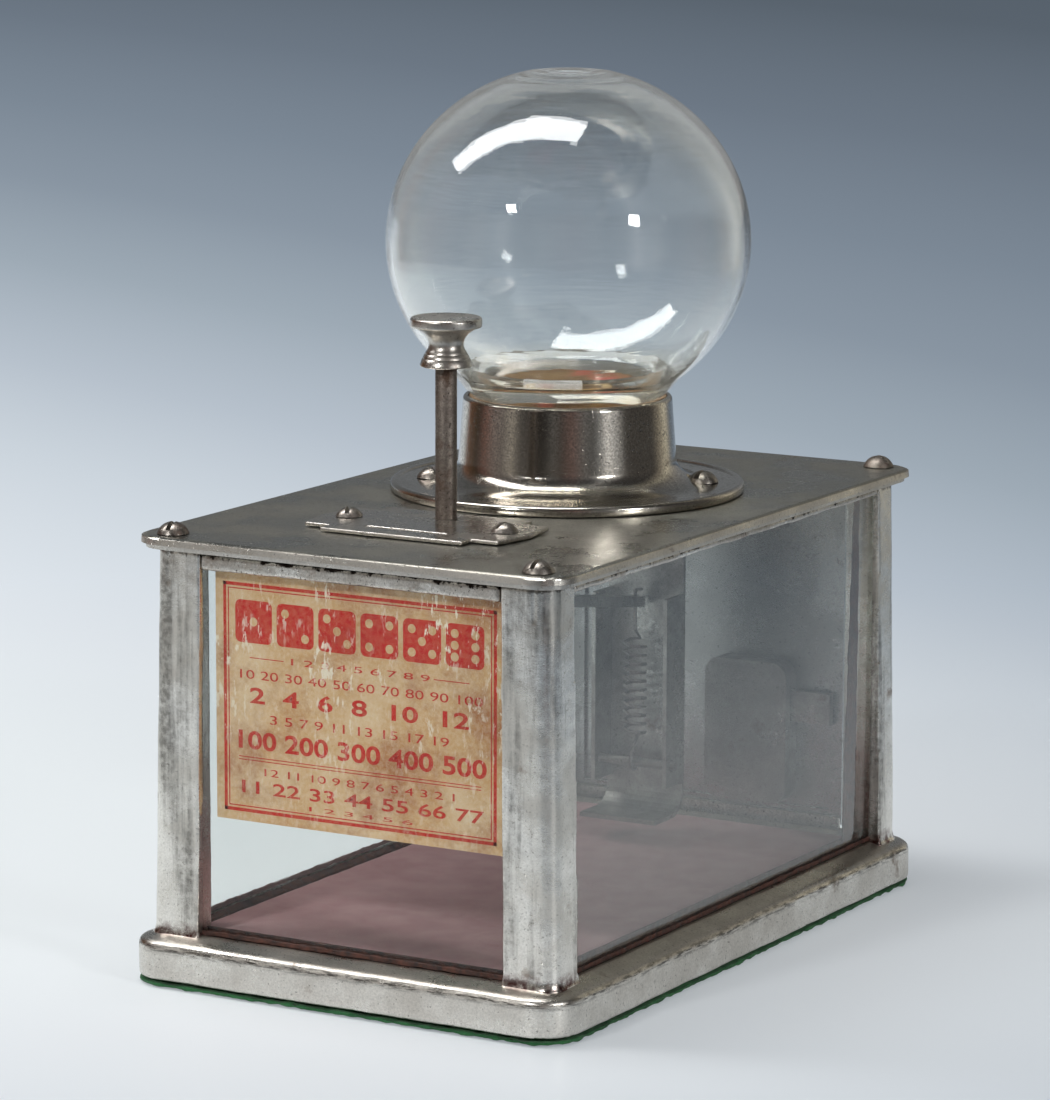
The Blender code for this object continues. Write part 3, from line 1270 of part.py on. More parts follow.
def back_door():
    """The sheet door with hemmed edges, its butt hinge, and the lock with barrel and bolt."""
    door = block(
        "rear_door", (-DOOR_HALF_X, DOOR_IN_Y, DOOR_LOW_Z), (DOOR_HALF_X, DOOR_OUT_Y, DOOR_TOP_Z), NICKEL
    )
    hem_in = DOOR_IN_Y - DOOR_T
    frame = block(
        "door_hem",
        (-DOOR_HALF_X, hem_in, DOOR_LOW_Z),
        (DOOR_HALF_X, DOOR_IN_Y + DOOR_T / 2, DOOR_TOP_Z),
    )
    field = block(
        "door_field",
        (-DOOR_HALF_X + DOOR_HEM, hem_in - OVERRUN, DOOR_LOW_Z + DOOR_HEM),
        (DOOR_HALF_X - DOOR_HEM, DOOR_IN_Y, DOOR_TOP_Z - DOOR_HEM),
    )
    join(door, frame)
    cut(door, field)
    lock_z = METAL_Z + LOCK_Z
    barrel_z = lock_z
    barrel_hole = pin(
        "door_barrel_hole",
        (LOCK_X, DOOR_IN_Y - OVERRUN, barrel_z),
        (LOCK_X, DOOR_OUT_Y + OVERRUN, barrel_z),
        BARREL_R + GAP,
        segments=ROUND_STEPS,
    )
    cut(door, barrel_hole)

    case_out = DOOR_IN_Y - GAP
    case_in = case_out - LOCK_CASE_D
    outline = rounded_outline(LOCK_CASE_W / 2, LOCK_CASE_H / 2, LOCK_CASE_R, (LOCK_X, lock_z))
    case = prism("lock_case", [outline], case_in, case_out, WORKS_STEEL, across="Y")
    wall = LOCK_WALL
    hollow = block(
        "lock_hollow",
        (LOCK_X - LOCK_CASE_W / 2 + wall, case_in + wall, lock_z - LOCK_CASE_H / 2 + wall),
        (LOCK_X + LOCK_CASE_W / 2 - wall, case_out + OVERRUN, lock_z + LOCK_CASE_H / 2 - wall),
    )
    bolt_mid_z = lock_z + BOLT_Z_ABOVE_LOCK
    bolt_out = min(case_out - LOCK_WALL, REBATE_Y - GAP)
    bolt_in = bolt_out - BOLT_T
    bolt_slot = block(
        "lock_bolt_slot",
        (LOCK_X, bolt_in - GAP, bolt_mid_z - BOLT_H / 2 - GAP),
        (LOCK_X + LOCK_CASE_W, bolt_out + GAP, bolt_mid_z + BOLT_H / 2 + GAP),
    )
    cut(case, hollow, bolt_slot)

    barrel_out = DOOR_OUT_Y + BARREL_PROUD
    barrel_in = bolt_in - GAP
    barrel = pin(
        "lock_barrel", (0, barrel_in, 0), (0, barrel_out, 0), BARREL_R, BRASS, ROUND_STEPS
    )
    keyway = Vector((KEYWAY_W / 2, BARREL_PROUD + DOOR_T, KEYWAY_H / 2))
    face = Vector((0, barrel_out, 0))
    keyway_cut = block("keyway", face - keyway, face + keyway)
    cut(barrel, keyway_cut)
    for shape in (barrel, keyway_cut):
        shape.location = (LOCK_X, 0, barrel_z)

    bolt_tip = POST_IN_X + BOLT_ENGAGE - BOLT_THROW
    bolt_tail = LOCK_X - BOLT_TAIL
    bolt = block(
        "lock_bolt",
        (bolt_tail, bolt_in, bolt_mid_z - BOLT_H / 2),
        (bolt_tip, bolt_out, bolt_mid_z + BOLT_H / 2),
        WORKS_STEEL,
    )
    relief = pin(
        "bolt_relief",
        (LOCK_X, bolt_in - OVERRUN, barrel_z),
        (LOCK_X, bolt_out + OVERRUN, barrel_z),
        BARREL_R + GAP * 2,
        segments=ROUND_STEPS,
    )
    clearance = block(
        "bolt_clearance",
        (bolt_tail - OVERRUN, bolt_in - OVERRUN, barrel_z - BARREL_R),
        (LOCK_X, bolt_out + OVERRUN, barrel_z + BARREL_R + GAP * 2),
    )
    cut(bolt, relief, clearance)
    hinge_parts()


def hinge_parts():
    """A butt hinge on the outside: two leaves, each with its knuckles, and the pin through them."""
    low = HINGE_MID_Z - HINGE_LEAF_H / 2
    bore = HINGE_PIN_R + GAP / 2
    leaf_in = HINGE_LEAF_Y
    leaf_out = leaf_in + HINGE_LEAF_T
    for name, sx in (("hinge_leaf_post", -1), ("hinge_leaf_door", 1)):
        near = HINGE_X + sx * GAP
        far = HINGE_X + sx * HINGE_LEAF_W
        leaf = block(
            name, (min(near, far), leaf_in, low), (max(near, far), leaf_out, low + HINGE_LEAF_H), NICKEL
        )
        spans = list(zip(KNUCKLE_SHARES, KNUCKLE_SHARES[1:]))
        owned = spans[0::2] if sx < 0 else spans[1::2]
        other = spans[1::2] if sx < 0 else spans[0::2]
        for i, (a, b) in enumerate(owned):
            knuckle = pin(
                f"{name}_knuckle_{i}",
                (HINGE_X, HINGE_Y, low + HINGE_LEAF_H * a + GAP / 2),
                (HINGE_X, HINGE_Y, low + HINGE_LEAF_H * b - GAP / 2),
                HINGE_KNUCKLE_R,
                segments=SMALL_STEPS,
            )
            join(leaf, knuckle)
        for i, (a, b) in enumerate(other):
            room = pin(
                f"{name}_room_{i}",
                (HINGE_X, HINGE_Y, low + HINGE_LEAF_H * a - GAP / 2),
                (HINGE_X, HINGE_Y, low + HINGE_LEAF_H * b + GAP / 2),
                HINGE_KNUCKLE_R + GAP,
                segments=SMALL_STEPS,
            )
            cut(leaf, room)
        bore_cut = pin(
            f"{name}_bore",
            (HINGE_X, HINGE_Y, low - OVERRUN),
            (HINGE_X, HINGE_Y, low + HINGE_LEAF_H + OVERRUN),
            bore,
            segments=PIN_STEPS,
        )
        cut(leaf, bore_cut)
    pin(
        "hinge_pin",
        (HINGE_X, HINGE_Y, low - GAP),
        (HINGE_X, HINGE_Y, low + HINGE_LEAF_H + GAP),
        HINGE_PIN_R,
        WORKS_STEEL,
        PIN_STEPS,
    )


base_and_floor()
posts_and_rails()
glazing()
top_plate()
coin_entry()
plunger()
collar_and_globe()
works_frame()
lever_piece()
popper()
return_spring()
back_door()
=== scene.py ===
"""Dresses the counter trade stimulator: worn nickel castings, a blown globe, hazed panes, an aged
card, felts and the lever works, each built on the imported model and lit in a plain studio."""

import json
import logging
import math
from contextlib import contextmanager
from dataclasses import dataclass, field
from enum import Enum
from typing import Callable, Iterator, Optional, Sequence

import bmesh
import bpy
from mathutils import Matrix, Vector

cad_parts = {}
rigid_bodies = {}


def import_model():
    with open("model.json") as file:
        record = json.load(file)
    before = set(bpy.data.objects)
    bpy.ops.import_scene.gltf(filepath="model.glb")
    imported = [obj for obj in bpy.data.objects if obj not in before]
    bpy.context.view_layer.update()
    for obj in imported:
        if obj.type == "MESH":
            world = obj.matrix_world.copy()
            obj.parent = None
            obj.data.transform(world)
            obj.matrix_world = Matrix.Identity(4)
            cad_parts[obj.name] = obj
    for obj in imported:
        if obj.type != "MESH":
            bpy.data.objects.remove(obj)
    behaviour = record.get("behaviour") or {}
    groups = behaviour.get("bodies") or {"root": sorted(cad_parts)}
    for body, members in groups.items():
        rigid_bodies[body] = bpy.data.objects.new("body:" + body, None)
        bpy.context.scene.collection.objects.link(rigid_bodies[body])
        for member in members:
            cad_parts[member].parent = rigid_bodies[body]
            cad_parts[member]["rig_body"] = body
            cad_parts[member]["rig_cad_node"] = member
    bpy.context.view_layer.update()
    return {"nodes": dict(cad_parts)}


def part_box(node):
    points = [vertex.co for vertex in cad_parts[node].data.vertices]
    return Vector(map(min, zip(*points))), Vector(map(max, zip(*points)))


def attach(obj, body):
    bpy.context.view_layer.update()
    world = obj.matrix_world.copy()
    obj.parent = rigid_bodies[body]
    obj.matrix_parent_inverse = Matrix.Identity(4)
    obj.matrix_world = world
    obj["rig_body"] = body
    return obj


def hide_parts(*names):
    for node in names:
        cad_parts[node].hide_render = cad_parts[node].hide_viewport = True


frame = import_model()

log = logging.getLogger("stimulator")
MM = 0.001
WELD = MM / 500
Point = tuple[float, float]
Colour = tuple[float, float, float]
Tones = tuple[tuple[float, Colour], ...]
Piece = bpy.types.Object
Material = bpy.types.Material
Node = bpy.types.Node
Socket = bpy.types.NodeSocket


class Level(Enum):
    """How finely a turned piece is divided round its axis."""

    COARSE = 32
    FINE = 64
    ROUND = 128


class Kind(Enum):
    """What is selected in edit mode, with the name of its list in the edit mesh."""

    VERT = "verts"
    EDGE = "edges"
    FACE = "faces"


def deselect() -> None:
    """Leaves edit mode and clears the selection."""
    if bpy.context.object and bpy.context.object.mode != "OBJECT":
        bpy.ops.object.mode_set(mode="OBJECT")
    bpy.ops.object.select_all(action="DESELECT")


def only(piece: Piece) -> None:
    """Selects one piece and makes it active.

    Args:
        piece: the piece to work on.
    """
    deselect()
    piece.select_set(True)
    bpy.context.view_layer.objects.active = piece


@contextmanager
def editing(piece: Piece, whole: bool = False) -> Iterator[bmesh.types.BMesh]:
    """Opens a piece in edit mode with nothing selected, or with the whole of it.

    Args:
        piece: the piece to edit.
        whole: whether all of it is selected.

    Returns:
        Its edit mesh, in which faces, edges or points are selected in code.
    """
    only(piece)
    bpy.ops.object.mode_set(mode="EDIT")
    bpy.ops.mesh.select_mode(type="VERT")
    bpy.ops.mesh.select_all(action="SELECT" if whole else "DESELECT")
    yield bmesh.from_edit_mesh(piece.data)
    bpy.ops.object.mode_set(mode="OBJECT")


def pick(mesh: bmesh.types.BMesh, piece: Piece, kind: Kind, wanted: Callable[..., bool]) -> None:
    """Selects the points, edges or faces that a test picks.

    Args:
        mesh: the edit mesh.
        piece: the piece that the mesh belongs to.
        kind: what is selected.
        wanted: the test of one point, edge or face.
    """
    bpy.ops.mesh.select_mode(type=kind.name)
    for part in getattr(mesh, kind.value):
        part.select_set(wanted(part))
    bmesh.update_edit_mesh(piece.data)


def is_upright(edge: bmesh.types.BMEdge) -> bool:
    """Whether an edge rises by more than a millimetre."""
    return abs(edge.verts[0].co.z - edge.verts[1].co.z) > MM


def joined(pieces: Sequence[Piece]) -> Piece:
    """Joins pieces into the first of them; returns it."""
    only(pieces[0])
    for piece in pieces:
        piece.select_set(True)
    bpy.ops.object.join()
    return pieces[0]


def settle(piece: Piece, angle_deg: float = 35.0) -> Piece:
    """Puts a finished piece's place into its mesh and smooths it.

    Args:
        piece: the finished piece.
        angle_deg: edges sharper than this stay sharp.

    Returns:
        The same piece.
    """
    only(piece)
    bpy.ops.object.transform_apply(location=True, rotation=True, scale=True)
    bpy.ops.object.shade_smooth_by_angle(angle=math.radians(angle_deg))
    return piece


def apply(piece: Piece, kind: str, **values: object) -> None:
    """Adds a modifier and applies it.

    Args:
        piece: the piece to change.
        kind: the modifier's type.
        values: its settings.
    """
    only(piece)
    step = piece.modifiers.new(kind.lower(), kind)
    for key, value in values.items():
        setattr(step, key, value)
    bpy.ops.object.modifier_apply(modifier=step.name)


def push(*step: float) -> None:
    """Extrudes the selected faces by a step."""
    bpy.ops.mesh.extrude_region_move(TRANSFORM_OT_translate={"value": step})


def carve(piece: Piece, cutter: Piece) -> None:
    """Takes a cutter's shape out of a piece and removes the cutter."""
    apply(piece, "BOOLEAN", object=cutter, operation="DIFFERENCE", solver="EXACT")
    bpy.data.objects.remove(cutter)


def arc(centre: Point, radius: float, start_deg: float, end_deg: float, steps: int) -> list[Point]:
    """Points of an arc in a profile.

    Args:
        centre: its centre as (radius, height).
        radius: its radius.
        start_deg: the first angle.
        end_deg: the last angle.
        steps: how many pieces it is cut into.

    Returns:
        The points, both ends included.
    """
    turns = [math.radians(start_deg + (end_deg - start_deg) * i / steps) for i in range(steps + 1)]
    return [(centre[0] + radius * math.cos(t), centre[1] + radius * math.sin(t)) for t in turns]


def lathe(name: str, profile: Sequence[Point], axis: Point, level: Level = Level.FINE) -> Piece:
    """Turns a profile about an upright axis, as by hand: a point, extruded along the profile and spun.

    Args:
        name: the piece's name.
        profile: (radius, height) points.
        axis: where the axis stands, as (x, y).
        level: how finely it is divided.

    Returns:
        The turned piece.
    """
    deselect()
    bpy.ops.mesh.primitive_plane_add(size=MM)
    piece = bpy.context.object
    piece.name = name
    with editing(piece, whole=True):
        bpy.ops.mesh.merge(type="CENTER")
        first = profile[0]
        bpy.ops.transform.translate(value=(axis[0] + first[0], axis[1], first[1]))
        for low, high in zip(profile, profile[1:]):
            step = (high[0] - low[0], 0, high[1] - low[1])
            bpy.ops.mesh.extrude_vertices_move(TRANSFORM_OT_translate={"value": step})
        bpy.ops.mesh.select_all(action="SELECT")
        bpy.ops.mesh.spin(steps=level.value, angle=math.tau, center=(*axis, 0), axis=(0, 0, 1))
        bpy.ops.mesh.select_all(action="SELECT")
        bpy.ops.mesh.remove_doubles(threshold=WELD)
        bpy.ops.mesh.normals_make_consistent(inside=False)
    return settle(piece)


def slab(
    name: str, low: Sequence[float], high: Sequence[float], edge: float = 0, segments: int = 3
) -> Piece:
    """A box between two corners with its edges rounded.

    Args:
        name: the piece's name.
        low: its lowest corner.
        high: its highest corner.
        edge: the radius of its edges.
        segments: how many faces round an edge.

    Returns:
        The box.
    """
    deselect()
    low, high = Vector(low), Vector(high)
    bpy.ops.mesh.primitive_cube_add(size=1, location=(low + high) / 2, scale=high - low)
    piece = bpy.context.object
    piece.name = name
    bpy.ops.object.transform_apply(location=True, rotation=True, scale=True)
    if edge:
        with editing(piece, whole=True):
            bpy.ops.mesh.bevel(offset=edge, segments=segments, affect="EDGES")
    return settle(piece)


@dataclass(frozen=True)
class Cast:
    """How a piece is weathered.

    Attributes:
        voxel: how fine its surface becomes.
        soften: how many times its surface is smoothed.
        lump: how far its faces wander.
        size: how large the lumps are.
        middle: the share of the wandering that goes inwards.
    """

    voxel: float
    soften: int
    lump: float
    size: float
    middle: float = 0.5

    def weather(self, piece: Piece) -> Piece:
        """Melts a piece's edges a little and lets its faces wander, as in an old casting.

        Args:
            piece: the piece.

        Returns:
            The same piece.
        """
        apply(piece, "REMESH", mode="VOXEL", voxel_size=self.voxel)
        apply(piece, "SMOOTH", factor=0.5, iterations=self.soften)
        clouds = bpy.data.textures.new(piece.name + "_lumps", "CLOUDS")
        clouds.noise_scale = self.size
        displace = {"texture": clouds, "texture_coords": "LOCAL", "strength": self.lump}
        apply(piece, "DISPLACE", mid_level=self.middle, **displace)
        only(piece)
        bpy.ops.object.shade_smooth()
        return piece


def duplicate(node: str, name: str) -> Piece:
    """A copy of a node with its own merged mesh, free of the frame; returns the copy."""
    piece = frame["nodes"][node].copy()
    piece.data = piece.data.copy()
    piece.parent = None
    piece.matrix_world = Matrix.Identity(4)
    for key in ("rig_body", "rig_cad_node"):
        if key in piece:
            del piece[key]
    piece.name = name
    bpy.context.scene.collection.objects.link(piece)
    with editing(piece, whole=True):
        bpy.ops.mesh.remove_doubles(threshold=WELD)
    return piece


def round_box(node: str) -> tuple[Vector, Vector, Point, float]:
    """The lowest and highest corner of a round node, its upright axis as (x, y) and its radius."""
    low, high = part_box(node)
    return low, high, ((low.x + high.x) / 2, (low.y + high.y) / 2), (high.x - low.x) / 2


def dimmed(colour: Colour, share: float) -> Colour:
    """A colour with a share of its light."""
    return tuple(share * v for v in colour)


def paint(piece: Piece, material: Material) -> Piece:
    """Gives a piece one material in place of what it had; returns the piece."""
    piece.data.materials.clear()
    piece.data.materials.append(material)
    return piece


def seat(piece: Piece, material: Material, body: str, slot: str, *nodes: str) -> None:
    """Paints a piece, hangs it on its body, hides the nodes that it replaces, and reports it.

    Args:
        piece: the piece.
        material: its finish.
        body: the body that it rides on.
        slot: the record's material slot; not used.
        nodes: the nodes that it replaces.
    """
    paint(piece, material)
    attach(piece, body)
    if nodes:
        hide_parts(*nodes)
    log.info("%s rides on %s, %d faces", piece.name, body, len(piece.data.polygons))


class Painter:
    """Adds and links the nodes of one material, or of the room round the machine."""

    MIX_A, MIX_B, MIX_RESULT = 6, 7, 2

    def __init__(self, name: str, room: Optional[bpy.types.NodeTree] = None) -> None:
        """Starts an empty material, or empties the room's nodes.

        Args:
            name: the material's name.
            room: the world's nodes, where it is the room that is painted.
        """
        if room:
            self.tree = room
        else:
            self.material = bpy.data.materials.new(name)
            self.material.use_nodes = True
            self.tree = self.material.node_tree
        self.tree.nodes.clear()
        self.output = self.add("OutputWorld" if room else "OutputMaterial")
        self.place = self.add("TexCoord").outputs["Generated" if room else "Object"]

    def add(self, kind: str, sockets: Optional[dict] = None, **settings: object) -> Node:
        """Adds a node.

        Args:
            kind: its type, without the word that all shader nodes start with.
            sockets: what goes into its inputs, by name or number.
            settings: its properties.

        Returns:
            The node.
        """
        node = self.tree.nodes.new("ShaderNode" + kind)
        for key, value in settings.items():
            setattr(node, key, value)
        for key, value in (sockets or {}).items():
            self.put(node.inputs[key], value)
        return node

    def put(self, socket: Socket, value: object) -> None:
        """Links an output to a socket, or sets the socket's own value."""
        if isinstance(value, Socket):
            self.tree.links.new(value, socket)
        elif isinstance(value, tuple) and len(value) == 3 and len(socket.default_value) == 4:
            socket.default_value = (*value, 1.0)
        else:
            socket.default_value = value

    def stretched(self, scale: Colour, at: Colour = (0, 0, 0)) -> Socket:
        """The place, scaled and shifted."""
        return self.add("Mapping", {"Vector": self.place, "Scale": scale, "Location": at}).outputs["Vector"]

    def noise(
        self, scale: float, detail: float = 4.0, rough: float = 0.55, place: object = None
    ) -> Socket:
        """A noise pattern.

        Args:
            scale: patches to the metre.
            detail: its octaves.
            rough: how strong the fine octaves are.
            place: the coordinates, the object's own if none.

        Returns:
            The pattern, about 0.5 on average.
        """
        sockets = {"Vector": place or self.place, "Scale": scale, "Detail": detail, "Roughness": rough}
        return self.add("TexNoise", sockets).outputs["Fac"]

    def band(
        self, value: object, low: float, high: float, to_low: float = 0.0, to_high: float = 1.0
    ) -> Socket:
        """Maps a value's range, clamped at both ends."""
        sockets = {"Value": value, "From Min": low, "From Max": high, "To Min": to_low, "To Max": to_high}
        return self.add("MapRange", sockets).outputs["Result"]

    def math(self, what: str, a: object, b: object) -> Socket:
        """Joins two values by a Math node."""
        return self.add("Math", {0: a, 1: b}, operation=what).outputs["Value"]

    def times(self, a: object, b: object) -> Socket:
        """The product of two values."""
        return self.math("MULTIPLY", a, b)

    def less(self, value: object) -> Socket:
        """What a share leaves of 1."""
        return self.math("SUBTRACT", 1.0, value)

    def mix(self, share: object, a: object, b: object) -> Socket:
        """Mixes two colours; share is how much of the second shows."""
        sockets = {"Factor": share, self.MIX_A: a, self.MIX_B: b}
        return self.add("Mix", sockets, data_type="RGBA").outputs[self.MIX_RESULT]

    def bump(
        self, height: object, depth: float, strength: float = 1.0, under: object = None
    ) -> Socket:
        """Relief of a given depth in metres, on another relief if there is one."""
        sockets = {"Strength": strength, "Distance": depth, "Height": height}
        if under:
            sockets["Normal"] = under
        return self.add("Bump", sockets).outputs["Normal"]

    def parts(self, place: object) -> bpy.types.NodeOutputs:
        """The X, Y and Z of a place, as a node's outputs."""
        return self.add("SeparateXYZ", {"Vector": place}).outputs

    def height_above(self, low: float, high: float) -> Socket:
        """0 below a height and 1 above another, by the place's Z."""
        return self.band(self.parts(self.place)["Z"], low, high)

    def ramp(self, value: object, tones: Tones) -> Socket:
        """Colours read from a list of (place from 0 to 1, colour) by a value."""
        node = self.add("ValToRGB", {"Fac": value})
        while len(node.color_ramp.elements) < len(tones):
            node.color_ramp.elements.new(0.5)
        for element, (at, colour) in zip(node.color_ramp.elements, tones):
            element.position = at
            element.color = (*colour, 1.0)
        return node.outputs["Color"]

    def bearing(self, place: object) -> Socket:
        """The compass bearing of a place or direction, from 0 to 1 round the upright axis."""
        parts = self.parts(place)
        return self.band(self.math("ARCTAN2", parts["Y"], parts["X"]), -math.pi, math.pi)

    def show(self, shader: Node) -> Node:
        """Links a shader to the output; returns the shader."""
        self.tree.links.new(shader.outputs[0], self.output.inputs["Surface"])
        return shader

    def principled(self, **sockets: object) -> Node:
        """A Principled shader with these sockets, their spaces written as underscores; returns it."""
        return self.add("BsdfPrincipled", {key.replace("_", " "): value for key, value in sockets.items()})

    def mix_shaders(self, share: object, a: Node, b: Node) -> Node:
        """Mixes two shaders and shows the result; returns the mix."""
        return self.show(self.add("MixShader", {0: share, 1: a.outputs[0], 2: b.outputs[0]}))


@dataclass(frozen=True)
class WornMetal:
    """Plated or bare metal with dull patches, grain, pits, streaks, stains, grime at its foot, and painted
    shadow with grime under its head.
    """

    name: str
    bright: Colour
    dull: Colour
    stain: Colour = (0.16, 0.09, 0.05)
    polish: float = 0.16
    wear: float = 0.22
    stain_at: float = 0.62
    pits: float = 0.5
    grain: float = 0.35
    streak: float = 0.0
    scratch: Colour = (60.0, 60.0, 900.0)
    relief: float = 0.00004
    pit: Colour = (0.05, 0.04, 0.035)
    foot_grime: float = 0.0
    foot_band: Point = (0.0140, 0.0175)
    foot_tone: Colour = (0.085, 0.014, 0.014)
    head_grime_and_shadow: float = 0.0
    head_band: Point = (0.1134, 0.1160)
    head_shadow_tone: Colour = (0.018, 0.013, 0.011)
    scuffed: Optional[Point] = None

    def make(self) -> Material:
        """Builds the material; returns it."""
        p = Painter(self.name)
        patches = p.band(p.noise(45.0, 6.0, 0.62), 0.40, 0.60)
        fine = p.noise(520.0, 5.0, 0.65)
        speck = p.band(p.noise(1900.0, 3.0, 0.6), 0.36, 0.64)
        lines = p.noise(14.0, 3.0, 0.7, p.stretched(self.scratch))
        pits = p.band(p.noise(1300.0, 2.0, 0.5), 0.645, 0.70, 0.0, self.pits)
        spread = p.noise(70.0, 8.0, 0.68, p.stretched((1, 1, 1), (3.1, 7.7, 1.9)))
        stains = p.band(spread, self.stain_at, self.stain_at + 0.1)
        colour = p.mix(patches, self.bright, self.dull)
        colour = p.mix(p.band(fine, 0.35, 0.7, 0.0, self.grain), colour, self.dull)
        colour = p.mix(p.times(speck, self.grain), colour, dimmed(self.dull, 0.55))
        if self.streak:
            runs = p.noise(1.0, 5.0, 0.6, p.stretched((150.0, 150.0, 11.0)))
            runs = p.band(runs, 0.50, 0.62, 0.0, self.streak)
            runs = p.times(runs, p.band(fine, 0.38, 0.6, 0.45, 1.0))
            colour = p.mix(runs, colour, dimmed(self.dull, 0.34))
        colour = p.mix(p.times(stains, 0.75), colour, self.stain)
        colour = self.soiled_and_shaded(p, p.mix(pits, colour, self.pit))
        rough = p.band(patches, 0, 1, self.polish, self.polish + self.wear)
        rough = p.math("ADD", rough, p.times(stains, 0.2))
        rough = p.math("ADD", rough, p.band(lines, 0.4, 0.7, 0.0, 0.06))
        rough = p.math("ADD", rough, p.times(speck, self.grain * 0.10))
        relief = p.bump(fine, self.relief)
        relief = p.bump(lines, self.relief * 0.4, 1.0, relief)
        relief = p.bump(pits, -self.relief * 1.5, 1.0, relief)
        p.show(p.principled(Base_Color=colour, Roughness=rough, Metallic=1.0, Normal=relief))
        return p.material

    def soiled_and_shaded(self, p: Painter, colour: Socket) -> Socket:
        """Adds grime at the foot, a painted shadow with grime under the head, and a band of level scuffs.

        Args:
            p: the painter of this finish.
            colour: the clean metal's colour.

        Returns:
            The soiled and shaded colour.
        """
        if self.foot_grime:
            ragged = p.band(p.noise(260.0, 5.0, 0.7), 0.42, 0.58)
            grime = p.times(p.times(p.less(p.height_above(*self.foot_band)), ragged), self.foot_grime)
            colour = p.mix(grime, colour, self.foot_tone)
        # Painted shadow with grime under the top plate's overhang: ragged near-black above the head band.
        if self.head_grime_and_shadow:
            ragged = p.band(p.noise(330.0, 5.0, 0.7), 0.35, 0.65, -0.45, 0.35)
            ragged = p.math("ADD", p.height_above(*self.head_band), ragged)
            colour = p.mix(p.band(ragged, 0.45, 0.60, 0.0, self.head_grime_and_shadow), colour, self.head_shadow_tone)
        if self.scuffed:
            low, high = self.scuffed
            middle = (low + high) / 2
            place = p.times(p.height_above(low, middle), p.less(p.height_above(middle, high)))
            marks = p.band(p.noise(1.0, 5.0, 0.7, p.stretched((210.0, 210.0, 1500.0))), 0.46, 0.56)
            colour = p.mix(p.times(place, marks), colour, dimmed(self.dull, 0.16))
        return colour


@dataclass(frozen=True)
class Felt:
    """Pressed wool: mottled colour, a soft nap and a little sheen."""

    name: str
    deep: Colour
    pale: Colour
    dust: Colour = (0.42, 0.36, 0.32)
    dusty: float = 0.1
    patch: Optional[Colour] = None
    sheen: float = 0.35

    def make(self) -> Material:
        """Builds the material; returns it."""
        p = Painter(self.name)
        nap = p.noise(2600.0, 6.0, 0.8)
        patches = p.band(p.noise(90.0, 6.0, 0.65), 0.35, 0.65)
        colour = p.mix(patches, self.deep, self.pale)
        colour = p.mix(p.band(nap, 0.45, 0.75, 0.0, 0.6), colour, self.pale)
        colour = p.mix(p.band(p.noise(900.0, 3.0), 0.6, 0.75, 0.0, self.dusty), colour, self.dust)
        if self.patch:
            unworn = p.noise(48.0, 4.0, 0.55, p.stretched((1, 1, 1), (0.013, 0.004, 0.02)))
            colour = p.mix(p.band(unworn, 0.54, 0.66), colour, self.patch)
        p.show(p.principled(
            Base_Color=colour, Roughness=0.95, Sheen_Weight=self.sheen, Sheen_Roughness=0.5,
            Specular_IOR_Level=0.15, Normal=p.bump(nap, 0.0004),
        ))
        return p.material


@dataclass(frozen=True)
class BlownGlass:
    """Clear blown glass with faint waves; its shadow is pale, as real glass casts."""

    name: str
    tint: Colour = (0.97, 0.985, 0.98)
    stained: Colour = (0.90, 0.80, 0.60)
    dust: Colour = (0.80, 0.80, 0.76)
    dusty: float = 0.14
    stained_below: Point = (0.148, 0.155)
    ior: float = 1.47
    wave: float = 0.00010

    def make(self) -> Material:
        """Builds the material; returns it."""
        p = Painter(self.name)
        swirl = p.noise(1.0, 3.0, 0.5, p.stretched((22.0, 22.0, 190.0), (0.3, 0.1, 0.7)))
        relief = p.bump(swirl, self.wave, 1.0, p.bump(p.noise(26.0, 2.0, 0.4), self.wave * 6))
        amber = p.band(p.noise(90.0, 4.0, 0.6), 0.35, 0.6, 0.3, 1.0)
        colour = p.mix(p.times(amber, p.less(p.height_above(*self.stained_below))), self.tint, self.stained)
        glass = p.principled(
            Base_Color=colour, Roughness=0.0, IOR=self.ior, Transmission_Weight=1.0, Normal=relief
        )
        edge = p.add("LayerWeight", {"Blend": 0.35}).outputs["Facing"]
        clouds = p.band(p.noise(34.0, 6.0, 0.65), 0.3, 0.7, 0.5, 1.2)
        dusty = p.times(p.band(edge, 0.15, 0.95, 0.015, self.dusty), clouds)
        glass = p.mix_shaders(dusty, glass, p.add("BsdfDiffuse", {"Color": self.dust}))
        clear = p.add("BsdfTransparent", {"Color": colour})
        p.mix_shaders(p.add("LightPath").outputs["Is Shadow Ray"], glass, clear)
        return p.material


@dataclass(frozen=True)
class WindowGlass:
    """A flat pane that mirrors by its angle, with a film of dirt on its inner face."""

    name: str
    film: float = 0.10
    film_colour: Colour = (0.50, 0.52, 0.52)
    tint: Colour = (0.978, 0.992, 0.986)
    gloss: float = 0.9
    mirror: Colour = (0.95, 0.97, 0.97)
    ior: float = 1.5

    def make(self) -> Material:
        """Builds the material; returns it."""
        p = Painter(self.name)
        clear = p.add("BsdfTransparent", {"Color": self.tint})
        ripple = p.bump(p.noise(12.0, 2.0, 0.4), 0.0002)
        gloss = p.principled(Base_Color=self.mirror, Roughness=0.02, Metallic=1.0, Normal=ripple)
        dirt = p.principled(Base_Color=self.film_colour, Roughness=0.7)
        clouds = p.band(p.noise(30.0, 6.0, 0.6), 0.3, 0.7, 0.5, 1.3)
        wiped = p.band(p.noise(8.0, 4.0, 0.6, p.stretched((1.0, 1.0, 7.0))), 0.3, 0.7, 0.6, 1.2)
        dirty = p.mix_shaders(p.times(p.times(clouds, wiped), self.film), clear, dirt)
        fresnel = p.add("Fresnel", {"IOR": self.ior}).outputs["Fac"]
        entering = p.less(p.add("NewGeometry").outputs["Backfacing"])
        both_faces = p.band(fresnel, 0.0, 0.5, 0.0, self.gloss)
        p.mix_shaders(p.times(both_faces, entering), dirty, gloss)
        return p.material


